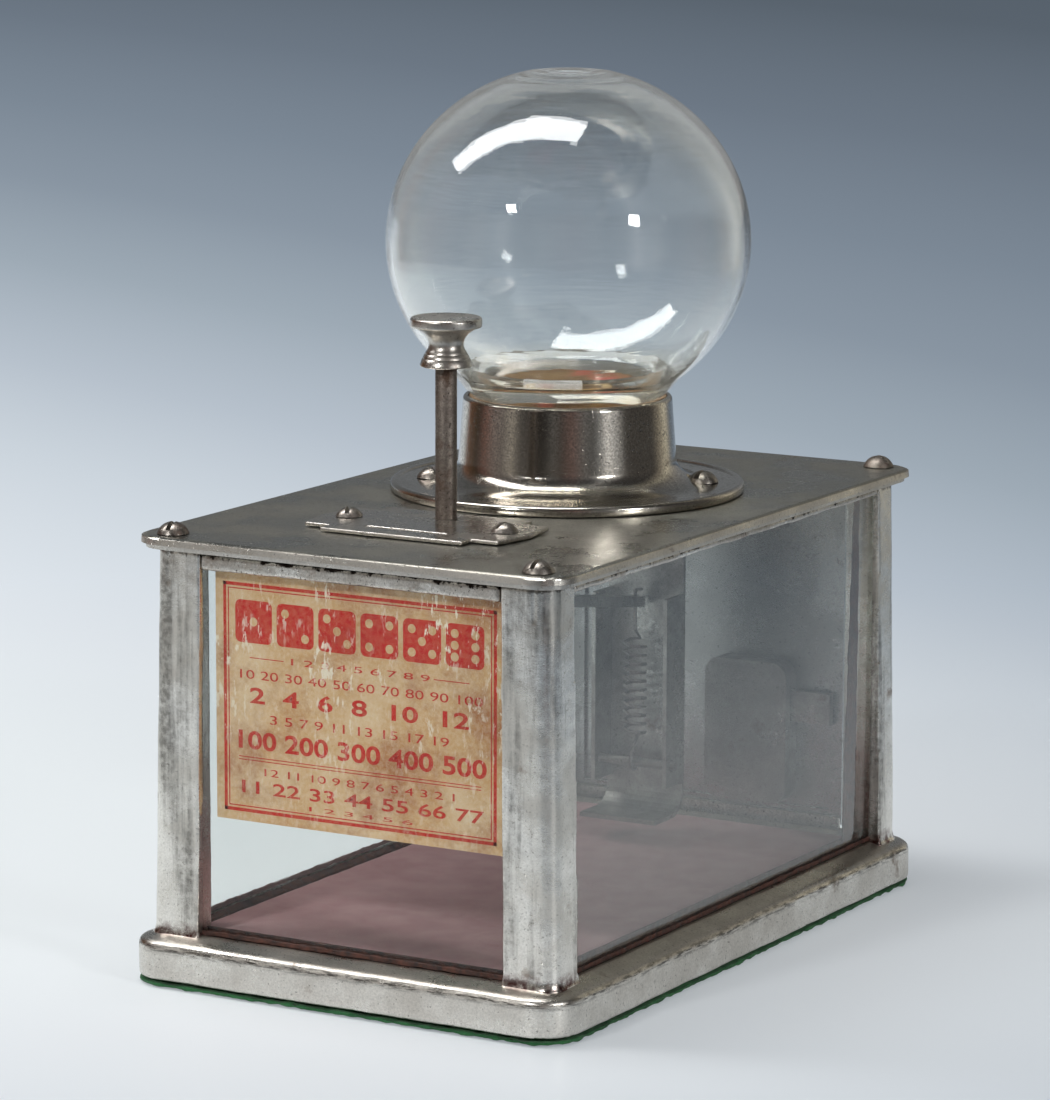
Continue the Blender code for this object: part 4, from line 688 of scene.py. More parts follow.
@dataclass(frozen=True)
class AgedCard:
    """Tan card with brown blotches, fine fibre and pale flakes, at which its print wears off too."""

    name: str
    tan: Colour = (0.62, 0.365, 0.165)
    pale: Colour = (0.74, 0.53, 0.32)
    dark: Colour = (0.37, 0.13, 0.04)
    rubbed: Colour = (0.90, 0.82, 0.68)
    worn_band: Point = (0.035, 0.10)
    ink: Optional[Colour] = None

    def make(self) -> Material:
        """Builds the material; returns it."""
        p = Painter(self.name)
        colour = p.mix(p.band(p.noise(60.0, 6.0, 0.6), 0.40, 0.62), self.tan, self.pale)
        blotch = p.noise(46.0, 7.0, 0.65, p.stretched((1, 1, 1), (2.0, 1.0, 0.7)))
        blotch = p.band(blotch, 0.48, 0.64, 0.0, 0.85)
        colour = p.mix(blotch, colour, self.dark)
        colour = p.mix(p.band(p.noise(900.0, 4.0, 0.7), 0.4, 0.7, 0.0, 0.25), colour, self.rubbed)
        if self.ink:
            press = p.band(p.noise(700.0, 4.0, 0.7), 0.40, 0.60, 0.84, 1.0)
            colour = p.mix(press, colour, p.mix(blotch, self.ink, dimmed(self.ink, 0.75)))
        flakes = p.band(p.noise(1.0, 5.0, 0.7, p.stretched((560.0, 560.0, 190.0))), 0.56, 0.60)
        runs = p.band(p.noise(1.0, 4.0, 0.6, p.stretched((90.0, 90.0, 34.0), (0.4, 2.0, 5.3))), 0.42, 0.56)
        rubbed = p.times(flakes, p.times(runs, p.height_above(*self.worn_band)))
        fibre = p.bump(p.noise(700.0), 0.0001)
        colour = p.mix(rubbed, colour, self.rubbed)
        p.show(p.principled(Base_Color=colour, Roughness=0.75, Specular_IOR_Level=0.15, Normal=fibre))
        return p.material


@dataclass(frozen=True)
class Plain:
    """A mottled plain finish: ink, putty, cork or wood."""

    name: str
    colour: Colour
    other: Colour
    roughness: float = 0.7
    scale: float = 300.0
    grain: Colour = (1.0, 1.0, 1.0)
    relief: float = 0.0002

    def make(self) -> Material:
        """Builds the material; returns it."""
        p = Painter(self.name)
        pattern = p.noise(self.scale, 6.0, 0.65, p.stretched(self.grain))
        colour = p.mix(p.band(pattern, 0.35, 0.65), self.colour, self.other)
        rough = p.band(pattern, 0.3, 0.7, self.roughness - 0.08, self.roughness + 0.08)
        p.show(p.principled(Base_Color=colour, Roughness=rough, Normal=p.bump(pattern, self.relief)))
        return p.material


class Finish:
    """Every finish of the machine, made once."""

    nickel = WornMetal("worn_nickel", (0.70, 0.67, 0.62), (0.48, 0.45, 0.41), polish=0.17, wear=0.16).make()
    # post_nickel and rail_nickel paint a dark band under the top plate: the painted shadow of its overhang,
    # with grime.
    post_nickel = WornMetal(
        "post_nickel", (0.88, 0.85, 0.79), (0.70, 0.665, 0.60), polish=0.15, wear=0.15, grain=0.25,
        streak=0.95, pits=0.3, foot_grime=1.0, head_grime_and_shadow=0.6,
    ).make()
    base_nickel = WornMetal(
        "base_nickel", (0.80, 0.77, 0.71), (0.62, 0.585, 0.53), polish=0.22, wear=0.16, grain=0.35,
        scuffed=(0.0092, 0.0124),
    ).make()
    plate_nickel = WornMetal(
        "plate_nickel", (0.54, 0.53, 0.48), (0.37, 0.355, 0.31), polish=0.20, wear=0.18, pits=0.8, grain=0.5,
        scratch=(700.0, 25.0, 60.0),
    ).make()
    # Its dark top is painted shadow, with grime, under the top plate.
    rail_nickel = WornMetal(
        "rail_nickel", (0.80, 0.77, 0.71), (0.50, 0.46, 0.41), polish=0.20, wear=0.2, stain_at=0.56, pits=0.9,
        grain=0.6, head_grime_and_shadow=1.0,
    ).make()
    # A darker copy of the nickel for the rear door: painted shade that keeps the inside of the case dark.
    door_nickel = WornMetal(
        "door_nickel", (0.44, 0.44, 0.43), (0.37, 0.37, 0.36), polish=0.22, wear=0.06, grain=0.15
    ).make()
    bright_nickel = WornMetal(
        "bright_nickel", (0.76, 0.73, 0.67), (0.56, 0.52, 0.46), stain=(0.24, 0.14, 0.07), polish=0.045,
        wear=0.06, stain_at=0.64, pits=0.7, grain=0.75, relief=0.000015,
    ).make()
    screw_nickel = WornMetal(
        "screw_nickel", (0.50, 0.47, 0.43), (0.26, 0.23, 0.20), stain=(0.09, 0.05, 0.035), polish=0.20,
        wear=0.2, stain_at=0.54, pits=0.9, grain=0.7,
    ).make()
    pitted_steel = WornMetal(
        "pitted_steel", (0.36, 0.32, 0.28), (0.17, 0.14, 0.12), stain=(0.10, 0.055, 0.035), polish=0.30,
        wear=0.25, stain_at=0.54, pits=0.9, grain=0.6, relief=0.00012,
    ).make()
    works_steel = WornMetal(
        "works_steel", (0.50, 0.49, 0.46), (0.28, 0.26, 0.24), polish=0.22, wear=0.25
    ).make()
    spring_steel = WornMetal(
        "spring_steel", (0.40, 0.38, 0.36), (0.22, 0.20, 0.19), polish=0.3, wear=0.2
    ).make()
    brass = WornMetal("dull_brass", (0.62, 0.45, 0.20), (0.38, 0.26, 0.12), polish=0.25, wear=0.25).make()
    globe = BlownGlass("blown_glass").make()
    pane_front = WindowGlass("pane_front_glass", film=0.012, gloss=0.28).make()
    pane_side = WindowGlass("pane_side_glass", film=0.065, film_colour=(0.50, 0.51, 0.48)).make()
    pane_left = WindowGlass("pane_left_glass", film=0.02).make()
    card = AgedCard("aged_card").make()
    ink = AgedCard("red_print", ink=(0.56, 0.014, 0.006)).make()
    putty = Plain(
        "old_putty", (0.018, 0.007, 0.005), (0.11, 0.038, 0.024), 0.6, 420.0, relief=0.0005
    ).make()
    cork = Plain("cork", (0.20, 0.13, 0.08), (0.09, 0.05, 0.03), 0.85, 600.0, relief=0.0006).make()
    wood = Plain("board_wood", (0.24, 0.14, 0.07), (0.15, 0.08, 0.04), 0.75, 60.0, (1.0, 0.08, 1.0)).make()
    green_felt = Felt("green_felt", (0.010, 0.075, 0.025), (0.045, 0.20, 0.07), sheen=0.15).make()
    maroon_felt = Felt("maroon_felt", (0.41, 0.165, 0.175), (0.54, 0.275, 0.285), dusty=0.3).make()
    red_felt = Felt(
        "popper_felt", (0.065, 0.034, 0.014), (0.14, 0.085, 0.035), dusty=0.0, patch=(0.27, 0.045, 0.035),
        sheen=0.0,
    ).make()


@dataclass
class Studio:
    """The pale floor, the soft lamps, the world and the camera."""

    azimuth_deg: float = 29.89
    elevation_deg: float = 10.11
    roll_deg: float = 0.18
    distance: float = 1.3526
    target: tuple[float, float, float] = (-0.00468, 0.0, 0.10495)
    focal_px: float = 5000.0
    frame_px: float = 1100.0
    near_clip: float = 0.05
    floor_half: float = 12.0
    right_falloff: float = 1.6
    front_falloff: float = 1.9
    fade_over: float = 10.0
    aside: Point = (-0.84, -0.68)
    far_room: Point = (0.6, 1.1)
    lit_paper: Point = (0.12, 0.55)
    paper: Colour = (0.78, 0.81, 0.83)
    ceiling: Colour = (0.04, 0.042, 0.045)
    ceiling_band: Point = (0.2, 0.75)
    lamp_aim: float = 0.12
    # Colours of the floor's glow by reach: a painted fall-off of light from pale near the machine to
    # grey-blue far away.
    paper_glow_tones: Tones = (
        (0.0, (0.84, 0.90, 0.93)), (0.02, (0.74, 0.79, 0.84)), (0.05, (0.60, 0.66, 0.72)),
        (0.075, (0.47, 0.53, 0.60)), (0.11, (0.34, 0.40, 0.46)), (0.15, (0.25, 0.30, 0.36)),
        (0.20, (0.20, 0.245, 0.30)), (0.28, (0.15, 0.185, 0.23)), (0.42, (0.10, 0.125, 0.155)),
        (0.9, (0.07, 0.088, 0.11)),
    )
    wall_tones: Tones = (
        (0.000, (0.09, 0.055, 0.03)), (0.020, (0.045, 0.035, 0.025)), (0.055, (0.20, 0.11, 0.09)),
        (0.095, (0.24, 0.20, 0.19)), (0.130, (0.20, 0.18, 0.17)), (0.158, (0.42, 0.39, 0.35)),
        (0.185, (0.10, 0.095, 0.09)), (0.225, (0.085, 0.075, 0.07)), (0.245, (0.03, 0.026, 0.022)),
        (0.272, (0.05, 0.048, 0.045)), (0.288, (0.13, 0.125, 0.12)), (0.310, (0.085, 0.075, 0.07)),
        (0.345, (0.18, 0.12, 0.11)), (0.385, (0.18, 0.18, 0.18)), (0.408, (0.09, 0.09, 0.09)),
        (0.432, (0.30, 0.31, 0.32)), (0.453, (1.0, 1.0, 1.0)), (0.470, (0.62, 0.63, 0.64)),
        (0.488, (0.40, 0.40, 0.40)), (0.508, (0.09, 0.085, 0.08)), (0.530, (0.075, 0.07, 0.065)),
        (0.620, (0.08, 0.075, 0.07)), (0.655, (0.30, 0.27, 0.22)), (0.690, (0.66, 0.62, 0.50)),
        (0.720, (0.36, 0.34, 0.30)), (0.760, (0.26, 0.26, 0.26)), (0.800, (0.17, 0.18, 0.19)),
        (0.930, (0.17, 0.18, 0.19)), (0.960, (0.22, 0.12, 0.08)), (0.980, (0.12, 0.07, 0.045)),
    )

    def build(self) -> None:
        """Makes the camera, the floor, the lamps and the world."""
        self.camera()
        self.floor()
        self.lamps()
        self.world()

    def camera(self) -> None:
        """Stands the camera where the photograph was taken from."""
        a, e, r = (math.radians(v) for v in (self.azimuth_deg, self.elevation_deg, self.roll_deg))
        forward = Vector((-math.sin(a) * math.cos(e), math.cos(a) * math.cos(e), -math.sin(e)))
        level = Vector((math.cos(a), math.sin(a), 0))
        rise = level.cross(forward)
        right = math.cos(r) * level + math.sin(r) * rise
        up = -math.sin(r) * level + math.cos(r) * rise
        place = Vector(self.target) - forward * self.distance
        data = bpy.data.cameras.new("camera")
        data.sensor_width = 36.0
        data.lens = self.focal_px / self.frame_px * data.sensor_width
        data.clip_start = self.near_clip
        bpy.context.scene.camera = self.hang("camera", data, place, Matrix((right, up, -forward)))

    def hang(self, name: str, data: bpy.types.ID, place: Vector, axes: Matrix) -> Piece:
        """Puts a camera or lamp at a place, turned so that its X, Y and Z lie along axes; returns it."""
        thing = bpy.data.objects.new(name, data)
        thing.matrix_world = Matrix.Translation(place) @ axes.transposed().to_4x4()
        bpy.context.scene.collection.objects.link(thing)
        return thing

    def floor(self) -> None:
        """A wide pale floor that glows for camera, glossy and transmission rays: a painted fall-off of light
        turns it grey-blue far away, and for glossy rays it shows painted walls of the room to reflect; near
        the machine it stays mostly lit paper, which keeps the shadow.
        """
        deselect()
        bpy.ops.mesh.primitive_plane_add(size=2 * self.floor_half)
        floor = bpy.context.object
        floor.name = "floor"
        p = Painter("floor_paper")
        far = p.add("VectorMath", {0: p.place}, operation="LENGTH").outputs["Value"]
        level, towards = self.ways()
        front = self.along(p, towards)
        reach = p.math("ADD", far, p.times(self.along(p, level), self.right_falloff))
        reach = p.math("ADD", reach, p.times(p.math("MAXIMUM", front, 0.0), self.front_falloff))
        path = p.add("LightPath").outputs
        backdrop = p.ramp(p.band(reach, 0.0, self.fade_over), self.paper_glow_tones)
        aside = p.band(p.math("DIVIDE", front, far), *self.aside)
        room = p.times(p.times(p.band(far, *self.far_room), aside), path["Is Glossy Ray"])
        walls = p.ramp(p.bearing(p.place), self.wall_tones)
        # The glow is painted light: the fall-off and, for glossy rays, painted walls to reflect.
        glow = p.add("Emission", {"Color": p.mix(room, backdrop, walls)})
        seen = p.math("MAXIMUM", path["Is Camera Ray"], path["Is Glossy Ray"])
        seen = p.math("MAXIMUM", seen, path["Is Transmission Ray"])
        paper = p.principled(Base_Color=self.paper, Roughness=0.42)
        p.mix_shaders(p.times(seen, p.band(far, *self.lit_paper, 0.4, 1.0)), paper, glow)
        paint(floor, p.material)

    def ways(self) -> tuple[Vector, Vector]:
        """The level directions to the camera's right and towards the camera."""
        turn = math.radians(self.azimuth_deg)
        return Vector((math.cos(turn), math.sin(turn), 0)), Vector((math.sin(turn), -math.cos(turn), 0))

    def along(self, p: Painter, way: Vector) -> Socket:
        """How far a place on the floor lies along a direction, below zero behind the machine."""
        return p.add("VectorMath", {0: p.place, 1: way}, operation="DOT_PRODUCT").outputs["Value"]

    def lamp(
        self, name: str, place: Colour, size: Point, power: float, turn_deg: Optional[float] = None
    ) -> None:
        """Hangs a soft lamp that faces the machine, or one that faces straight down.

        Args:
            name: its name.
            place: how far to the camera's right, towards the camera and up it hangs.
            size: its width and height.
            power: its power in watts.
            turn_deg: how far a lamp that faces down is turned about the upright.
        """
        level, towards = self.ways()
        hook = level * place[0] + towards * place[1] + Vector((0, 0, place[2]))
        data = bpy.data.lights.new(name, "AREA")
        data.shape = "RECTANGLE"
        data.size, data.size_y = size
        data.energy = power
        upward = Vector((0, 0, 1))
        back = (hook - upward * self.lamp_aim).normalized() if turn_deg is None else upward
        across = (level - back * level.dot(back)).normalized()
        across = Matrix.Rotation(math.radians(turn_deg or 0.0), 3, back) @ across
        self.hang(name, data, hook, Matrix((across, back.cross(across), back)))

    def lamps(self) -> None:
        """A long soft box overhead and two small lamps in front, one on each side."""
        self.lamp("overhead_box", (-0.65, -0.13, 1.19), (1.59, 0.33), 17.0, -15.0)
        self.lamp("left_lamp", (-1.13, 1.38, 1.10), (0.22, 0.22), 13.0)
        self.lamp("right_lamp", (1.29, 1.40, 0.81), (0.22, 0.22), 10.0)

    def world(self) -> None:
        """A dark room with paler places round it; the camera sees only its grey-blue end."""
        world = bpy.data.worlds.new("room")
        world.use_nodes = True
        p = Painter("room_nodes", world.node_tree)
        walls = p.ramp(p.bearing(p.place), self.wall_tones)
        walls = p.mix(p.band(p.parts(p.place)["Z"], *self.ceiling_band, 0.0, 0.7), walls, self.ceiling)
        seen = p.add("LightPath").outputs["Is Camera Ray"]
        p.show(p.add("Background", {"Color": p.mix(seen, walls, self.paper_glow_tones[-1][1])}))
        bpy.context.scene.world = world
        bpy.context.scene.view_settings.view_transform = "Standard"


@dataclass
class Case:
    """The base, posts, rails, panes, card and floor."""

    post_cast: Cast = Cast(0.00045, 4, 0.0003, 0.010, 0.85)
    rail_cast: Cast = Cast(0.0004, 2, 0.0007, 0.009)
    base_cast: Cast = Cast(0.00084, 3, 0.0004, 0.014, 0.95)
    pad_cast: Cast = Cast(0.0005, 1, 0.0011, 0.004, 0.9)
    lining_cast: Cast = Cast(0.00065, 1, 0.0003, 0.004)
    upright_cast: Cast = Cast(0.0004, 1, 0.0007, 0.006, 0.9)
    bead_cast: Cast = Cast(0.0004, 1, 0.0009, 0.004, 0.9)
    corner: float = 0.0108
    roll: tuple[Point, ...] = (
        (0.0, 0.0106), (0.00012, 0.0112), (0.0004, 0.0117), (0.0009, 0.0122), (0.0015, 0.0125),
        (0.0023, 0.01275), (0.0040, 0.0132), (0.0060, 0.0137), (0.0080, 0.0142),
    )
    crest: float = 0.0007
    pad_reach: Point = (0.0135, 0.0106)
    pad_top: float = 0.0125
    foot_lift: float = 0.0002
    rail_low: dict[str, float] = field(
        default_factory=lambda: {"front": 0.1113, "rear": 0.1113, "left": 0.1132, "right": 0.1132}
    )
    rail_top: float = 0.1152
    upright_foot: float = 0.0150
    upright_top: float = 0.1120
    upright_thick: float = 0.0009
    upright_wide: float = 0.0085
    upright_thin: float = 0.0040
    putty_top: dict[str, float] = field(
        default_factory=lambda: {"front": 0.0158, "left": 0.0156, "right": 0.0170}
    )
    putty_toe: float = 0.0143
    rim_foot: float = 0.0136
    rim_top: float = 0.0156
    rim_wide: float = 0.0013
    sill_foot: float = 0.0139
    sill_lap: float = 0.0026
    sill_depth: float = 0.0022
    felt_spread: float = 0.0005
    felt_foot: float = 0.0001
    felt_top: float = 0.00175
    felt_kept: float = 0.4
    groove_z: float = 0.0110
    groove_width: float = 0.0052

    def build(self) -> None:
        """Builds and dresses the case."""
        self.base()
        for node in ("post_front_left", "post_front_right", "post_rear_left", "post_rear_right"):
            post = self.post_cast.weather(duplicate(node, f"{node}_casting"))
            seat(post, Finish.post_nickel, "root", "nickel", node)
        for side, foot in self.rail_low.items():
            node = f"rail_{side}"
            low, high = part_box(node)
            rail = slab(f"{node}_strip", (low.x, low.y, foot), (high.x, high.y, self.rail_top), 0.0005, 2)
            seat(self.rail_cast.weather(rail), Finish.rail_nickel, "root", "nickel", node)
        self.felts()
        nodes = frame["nodes"]
        paint(nodes["glass_front"], Finish.pane_front)
        paint(nodes["glass_left"], Finish.pane_left)
        paint(nodes["glass_right"], Finish.pane_side)
        paint(nodes["floor_board"], Finish.wood)
        for side in self.putty_top:
            self.bead(side)
        self.uprights()
        self.sill()

    def base(self) -> None:
        """The base casting: a straight face, a rolled edge, a broad slope and a groove for the panes."""
        low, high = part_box("base_frame")
        half_x, half_y = high.x, high.y
        base = slab("base_casting", (-half_x, -half_y, low.z), (half_x, half_y, self.roll[0][1]))
        with editing(base) as mesh:
            pick(mesh, base, Kind.EDGE, is_upright)
            bpy.ops.mesh.bevel(offset=self.corner, segments=14, affect="EDGES")
        with editing(base) as mesh:
            pick(mesh, base, Kind.FACE, lambda f: f.normal.z > 0.9)
            for (out, below), (inward, above) in zip(self.roll, self.roll[1:]):
                bpy.ops.mesh.inset(thickness=inward - out, depth=0, use_even_offset=True)
                bpy.ops.transform.translate(value=(0, 0, above - below))
            floor_z = low.z + self.foot_lift
            steps = ((self.crest, self.groove_z - high.z), (self.groove_width, floor_z - self.groove_z))
            for inward, fall in steps:
                bpy.ops.mesh.inset(thickness=inward, depth=0)
                push(0, 0, fall)
            bpy.ops.mesh.delete(type="FACE")
        with editing(base) as mesh:
            pick(mesh, base, Kind.FACE, lambda f: f.normal.z < -0.9)
            bpy.ops.mesh.delete(type="FACE")
        with editing(base) as mesh:
            pick(mesh, base, Kind.EDGE, lambda e: e.is_boundary)
            bpy.ops.mesh.bridge_edge_loops()
        with editing(base, whole=True):
            bpy.ops.mesh.normals_make_consistent(inside=False)
        reach = tuple(half - self.roll[-1][0] - self.crest for half in (half_x, half_y))
        pads = []
        for ways in ((-1, -1), (-1, 1), (1, -1), (1, 1)):
            sides = zip(ways, reach, self.pad_reach)
            (x0, x1), (y0, y1) = (sorted((way * (end - deep), way * (end + MM))) for way, end, deep in sides)
            pads.append(slab("corner_pad", (x0, y0, low.z + MM), (x1, y1, self.pad_top)))
        self.base_cast.weather(joined([base, *pads]))
        seat(base, Finish.base_nickel, "root", "nickel", "base_frame")

    def felts(self) -> None:
        """The pad under the base with its ragged edge, and the felt inside on the floor board."""
        low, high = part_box("felt_pad")
        spread = self.felt_spread
        pad = slab(
            "pad_felt", (low.x - spread, low.y - spread, self.felt_foot),
            (high.x + spread, high.y + spread, self.felt_top),
        )
        with editing(pad) as mesh:
            pick(mesh, pad, Kind.EDGE, is_upright)
            bpy.ops.mesh.bevel(offset=self.corner, segments=12, affect="EDGES")
        self.pad_cast.weather(pad)
        apply(pad, "DECIMATE", ratio=self.felt_kept)
        seat(pad, Finish.green_felt, "root", "green_felt", "felt_pad")
        lining = self.lining_cast.weather(duplicate("floor_felt", "floor_lining"))
        seat(lining, Finish.maroon_felt, "root", "maroon_felt", "floor_felt")

    def uprights(self) -> None:
        """Dark putty that runs up inside the side panes where they meet the rear posts."""
        for side, way in (("left", -1), ("right", 1)):
            inner = way * (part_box(f"glass_{side}")[1 if way < 0 else 0].x - way * 0.1 * MM)
            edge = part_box(f"post_rear_{side}")[0].y
            ends = sorted((way * inner, way * (inner - self.upright_thick)))
            bead = slab(
                f"putty_{side}_upright", (ends[0], edge - self.upright_wide, self.upright_foot),
                (ends[1], edge - 0.1 * MM, self.upright_top),
            )
            with editing(bead) as mesh:
                pick(mesh, bead, Kind.VERT, lambda v: v.co.z > 0.1 and v.co.y < edge - MM)
                bpy.ops.transform.translate(value=(0, self.upright_wide - self.upright_thin, 0))
            seat(self.upright_cast.weather(bead), Finish.putty, "root", "putty")

    def sill(self) -> None:
        """The stop strip along the foot of the doorway, which the rear door closes against."""
        low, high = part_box("rear_door")
        strip = slab(
            "door_stop_strip", (low.x, low.y - self.sill_depth, self.sill_foot),
            (high.x, low.y - 0.3 * MM, low.z + self.sill_lap), 0.0003, 2,
        )
        seat(strip, Finish.rail_nickel, "root", "nickel")

    def bead(self, side: str) -> None:
        """A fillet of putty between a pane's inner face and the floor, and a rim of it outside the pane.

        Args:
            side: front, left or right.
        """
        low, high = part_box(f"putty_{side}")
        top = self.putty_top[side]
        bead = slab(f"putty_{side}_bead", low, (high.x, high.y, top))
        inward = Vector({"front": (0, 1, 0), "left": (1, 0, 0), "right": (-1, 0, 0)}[side])
        middle = (low + high) / 2
        with editing(bead) as mesh:
            pick(mesh, bead, Kind.VERT, lambda v: v.co.z > high.z and (v.co - middle).dot(inward) > 0)
            bpy.ops.transform.translate(value=(0, 0, self.putty_toe - top))
        pane_low, pane_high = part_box(f"glass_{side}")
        near, far = 0.05 * MM, self.rim_wide
        outer = {
            "front": ((low.x, pane_low.y - far), (high.x, pane_low.y - near)),
            "left": ((pane_low.x - far, low.y), (pane_low.x - near, high.y)),
            "right": ((pane_high.x + near, low.y), (pane_high.x + far, high.y)),
        }[side]
        rim = slab("outer_bead", (*outer[0], self.rim_foot), (*outer[1], self.rim_top), 0.0003, 2)
        self.bead_cast.weather(joined([bead, rim]))
        seat(bead, Finish.putty, "root", "putty", f"putty_{side}")


@dataclass
class Fasteners:
    """The round-head screws: turned heads with cut slots."""

    slot_width: float = 0.0013
    slot_depth: float = 0.62
    broad: float = 0.004
    broad_rise: float = 0.71
    small_rise: float = 0.67
    shank: float = 0.42
    turns: dict[str, float] = field(default_factory=lambda: {
        "case_screw_front_left": -79.0, "case_screw_front_right": -90.0, "case_screw_rear_left": 64.0,
        "case_screw_rear_right": -15.0, "coin_plate_screw_left": -71.0, "coin_plate_screw_right": -112.0,
        "flange_screw_right": -95.0, "flange_screw_left": -40.0,
    })

    def screw(self, node: str, turn_deg: float) -> None:
        """Turns a head over its shank and cuts the slot.

        Args:
            node: the screw's node.
            turn_deg: which way the slot points.
        """
        low, high, axis, radius = round_box(node)
        rise = radius * (self.broad_rise if radius > self.broad else self.small_rise)
        under = high.z - rise
        shank = radius * self.shank
        sphere = (radius * radius + rise * rise) / (2 * rise)
        reach = math.degrees(math.asin(min(1.0, radius * 0.985 / sphere)))
        dome = arc((0, high.z - sphere), sphere, 90.0, 90.0 - reach, 12)
        stem = [(radius, under + rise * 0.02), (radius, under), (shank, under), (shank, low.z), (0.0, low.z)]
        head = lathe(node + "_head", [(0.0, high.z)] + dome[1:] + stem, axis)
        half = Vector((radius * 1.2, self.slot_width / 2, rise * self.slot_depth))
        slot = slab(node + "_slot", -half, half)
        slot.location = (*axis, high.z)
        slot.rotation_euler.z = math.radians(turn_deg)
        carve(head, slot)
        apply(head, "BEVEL", width=0.00008, segments=2, limit_method="ANGLE", angle_limit=math.radians(50))
        seat(settle(head), Finish.screw_nickel, "root", "screw_nickel", node)

    def build(self) -> None:
        """Makes all eight screws."""
        for node, turn in self.turns.items():
            self.screw(node, turn)


@dataclass
class Top:
    """The cover plate and the coin plate on it."""

    coin_cast: Cast = Cast(0.00028, 1, 0.0001, 0.01)
    corner: float = 0.009
    rim: float = 0.0013
    edge: tuple[Point, ...] = (
        (0.00014, 0.00072), (0.00017, 0.00050), (0.00026, 0.00028), (0.00042, 0.00011), (0.00066, 0.00002),
        (0.0013, 0.0),
    )
    foot_cuts: Point = (0.00045, 0.00060)
    face_cuts: Point = (0.00092, 0.00078)

    def build(self) -> None:
        """Builds and dresses the plates."""
        plate = duplicate("top_plate", "cover_plate")
        self.sharpen(plate)
        low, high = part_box("top_plate")
        heights = [low.z + rise for rise in self.foot_cuts] + [high.z - drop for drop in self.face_cuts]
        cuts = [(0, 0, height) for height in heights]
        for inset in (self.rim + 0.4 * MM, self.rim + 1.2 * MM, self.corner, self.corner + 1.5 * MM):
            for side in (-1, 1):
                cuts += [(side * (high.x - inset), 0, 0), (0, side * (high.y - inset), 0)]
        with editing(plate):
            for cut in cuts:
                bpy.ops.mesh.select_all(action="SELECT")
                bpy.ops.mesh.bisect(plane_co=cut, plane_no=Vector(cut).normalized())
        apply(plate, "BEVEL", width=0.0003, segments=2, limit_method="ANGLE", angle_limit=math.radians(60))
        seat(settle(plate, 30.0), Finish.plate_nickel, "root", "plate_nickel", "top_plate")
        plate.data.materials.append(Finish.base_nickel)
        x_edge, y_edge = high.x - self.corner / 2, high.y - self.corner / 2
        for face in plate.data.polygons:
            x, y, _ = face.center
            face.material_index = int(face.normal.z < 0.8 and (abs(x) > x_edge or abs(y) > y_edge))
        coin = self.coin_cast.weather(duplicate("coin_plate", "coin_plate_sheet"))
        seat(coin, Finish.nickel, "root", "nickel", "coin_plate")

    def sharpen(self, plate: Piece) -> None:
        """Gives the plate's rim a nearly upright face and a tight top edge.

        Args:
            plate: the plate to change.
        """
        _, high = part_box("top_plate")
        for point in plate.data.vertices:
            core = Vector((
                max(-high.x + self.corner, min(high.x - self.corner, point.co.x)),
                max(-high.y + self.corner, min(high.y - self.corner, point.co.y)), point.co.z,
            ))
            out = point.co - core
            inset, drop = self.corner - out.length, high.z - point.co.z
            if inset > self.rim * 1.01 or drop > self.rim * 1.01 or out.length < MM:
                continue
            turn = math.asin(max(0.0, min(1.0, 1 - drop / self.rim))) / (math.pi / 2) * (len(self.edge) - 1)
            step = min(int(turn), len(self.edge) - 2)
            first, second = self.edge[step], self.edge[step + 1]
            inset, drop = (a + (b - a) * (turn - step) for a, b in zip(first, second))
            point.co = core + out.normalized() * (self.corner - inset)
            point.co.z = high.z - drop


@dataclass
class Plunger:
    """The rod and the turned knob."""

    rim: float = 0.085
    body: tuple[Point, ...] = (
        (0.86, 0.775), (0.74, 0.725), (0.64, 0.675), (0.565, 0.615), (0.515, 0.55), (0.488, 0.48),
        (0.485, 0.43), (0.50, 0.375), (0.535, 0.325), (0.575, 0.285), (0.580, 0.262), (0.605, 0.245),
        (0.645, 0.19), (0.650, 0.165), (0.675, 0.150), (0.705, 0.085), (0.735, 0.035), (0.735, 0.015),
        (0.72, 0.0), (0.36, 0.0), (0.36, 0.45), (0.0, 0.45),
    )

    def build(self) -> None:
        """Builds the rod and the knob."""
        low, high, axis, radius = round_box("plunger_rod")
        rod = lathe("rod_bar", [
            (0, high.z), (radius * 0.9, high.z), (radius, high.z - radius * 0.2), (radius, low.z + radius),
            (radius * 0.5, low.z), (0, low.z),
        ], axis)
        seat(rod, Finish.pitted_steel, "plunger", "pitted_steel", "plunger_rod")
        low, high, axis, wide = round_box("plunger_knob")
        top, foot, tall = high.z, low.z, high.z - low.z
        rim = wide * self.rim
        profile = [(0, top - tall * 0.022), (wide * 0.80, top - tall * 0.012), (wide * 0.90, top)]
        profile += arc((wide - rim, top - rim), rim, 80, 0, 5)
        profile += arc((wide - rim, foot + tall * 0.845), rim, 0, -50, 4)
        profile += [(wide * r, foot + tall * h) for r, h in self.body]
        knob = lathe("knob_turning", profile, axis, Level.ROUND)
        seat(knob, Finish.nickel, "plunger", "nickel", "plunger_knob")


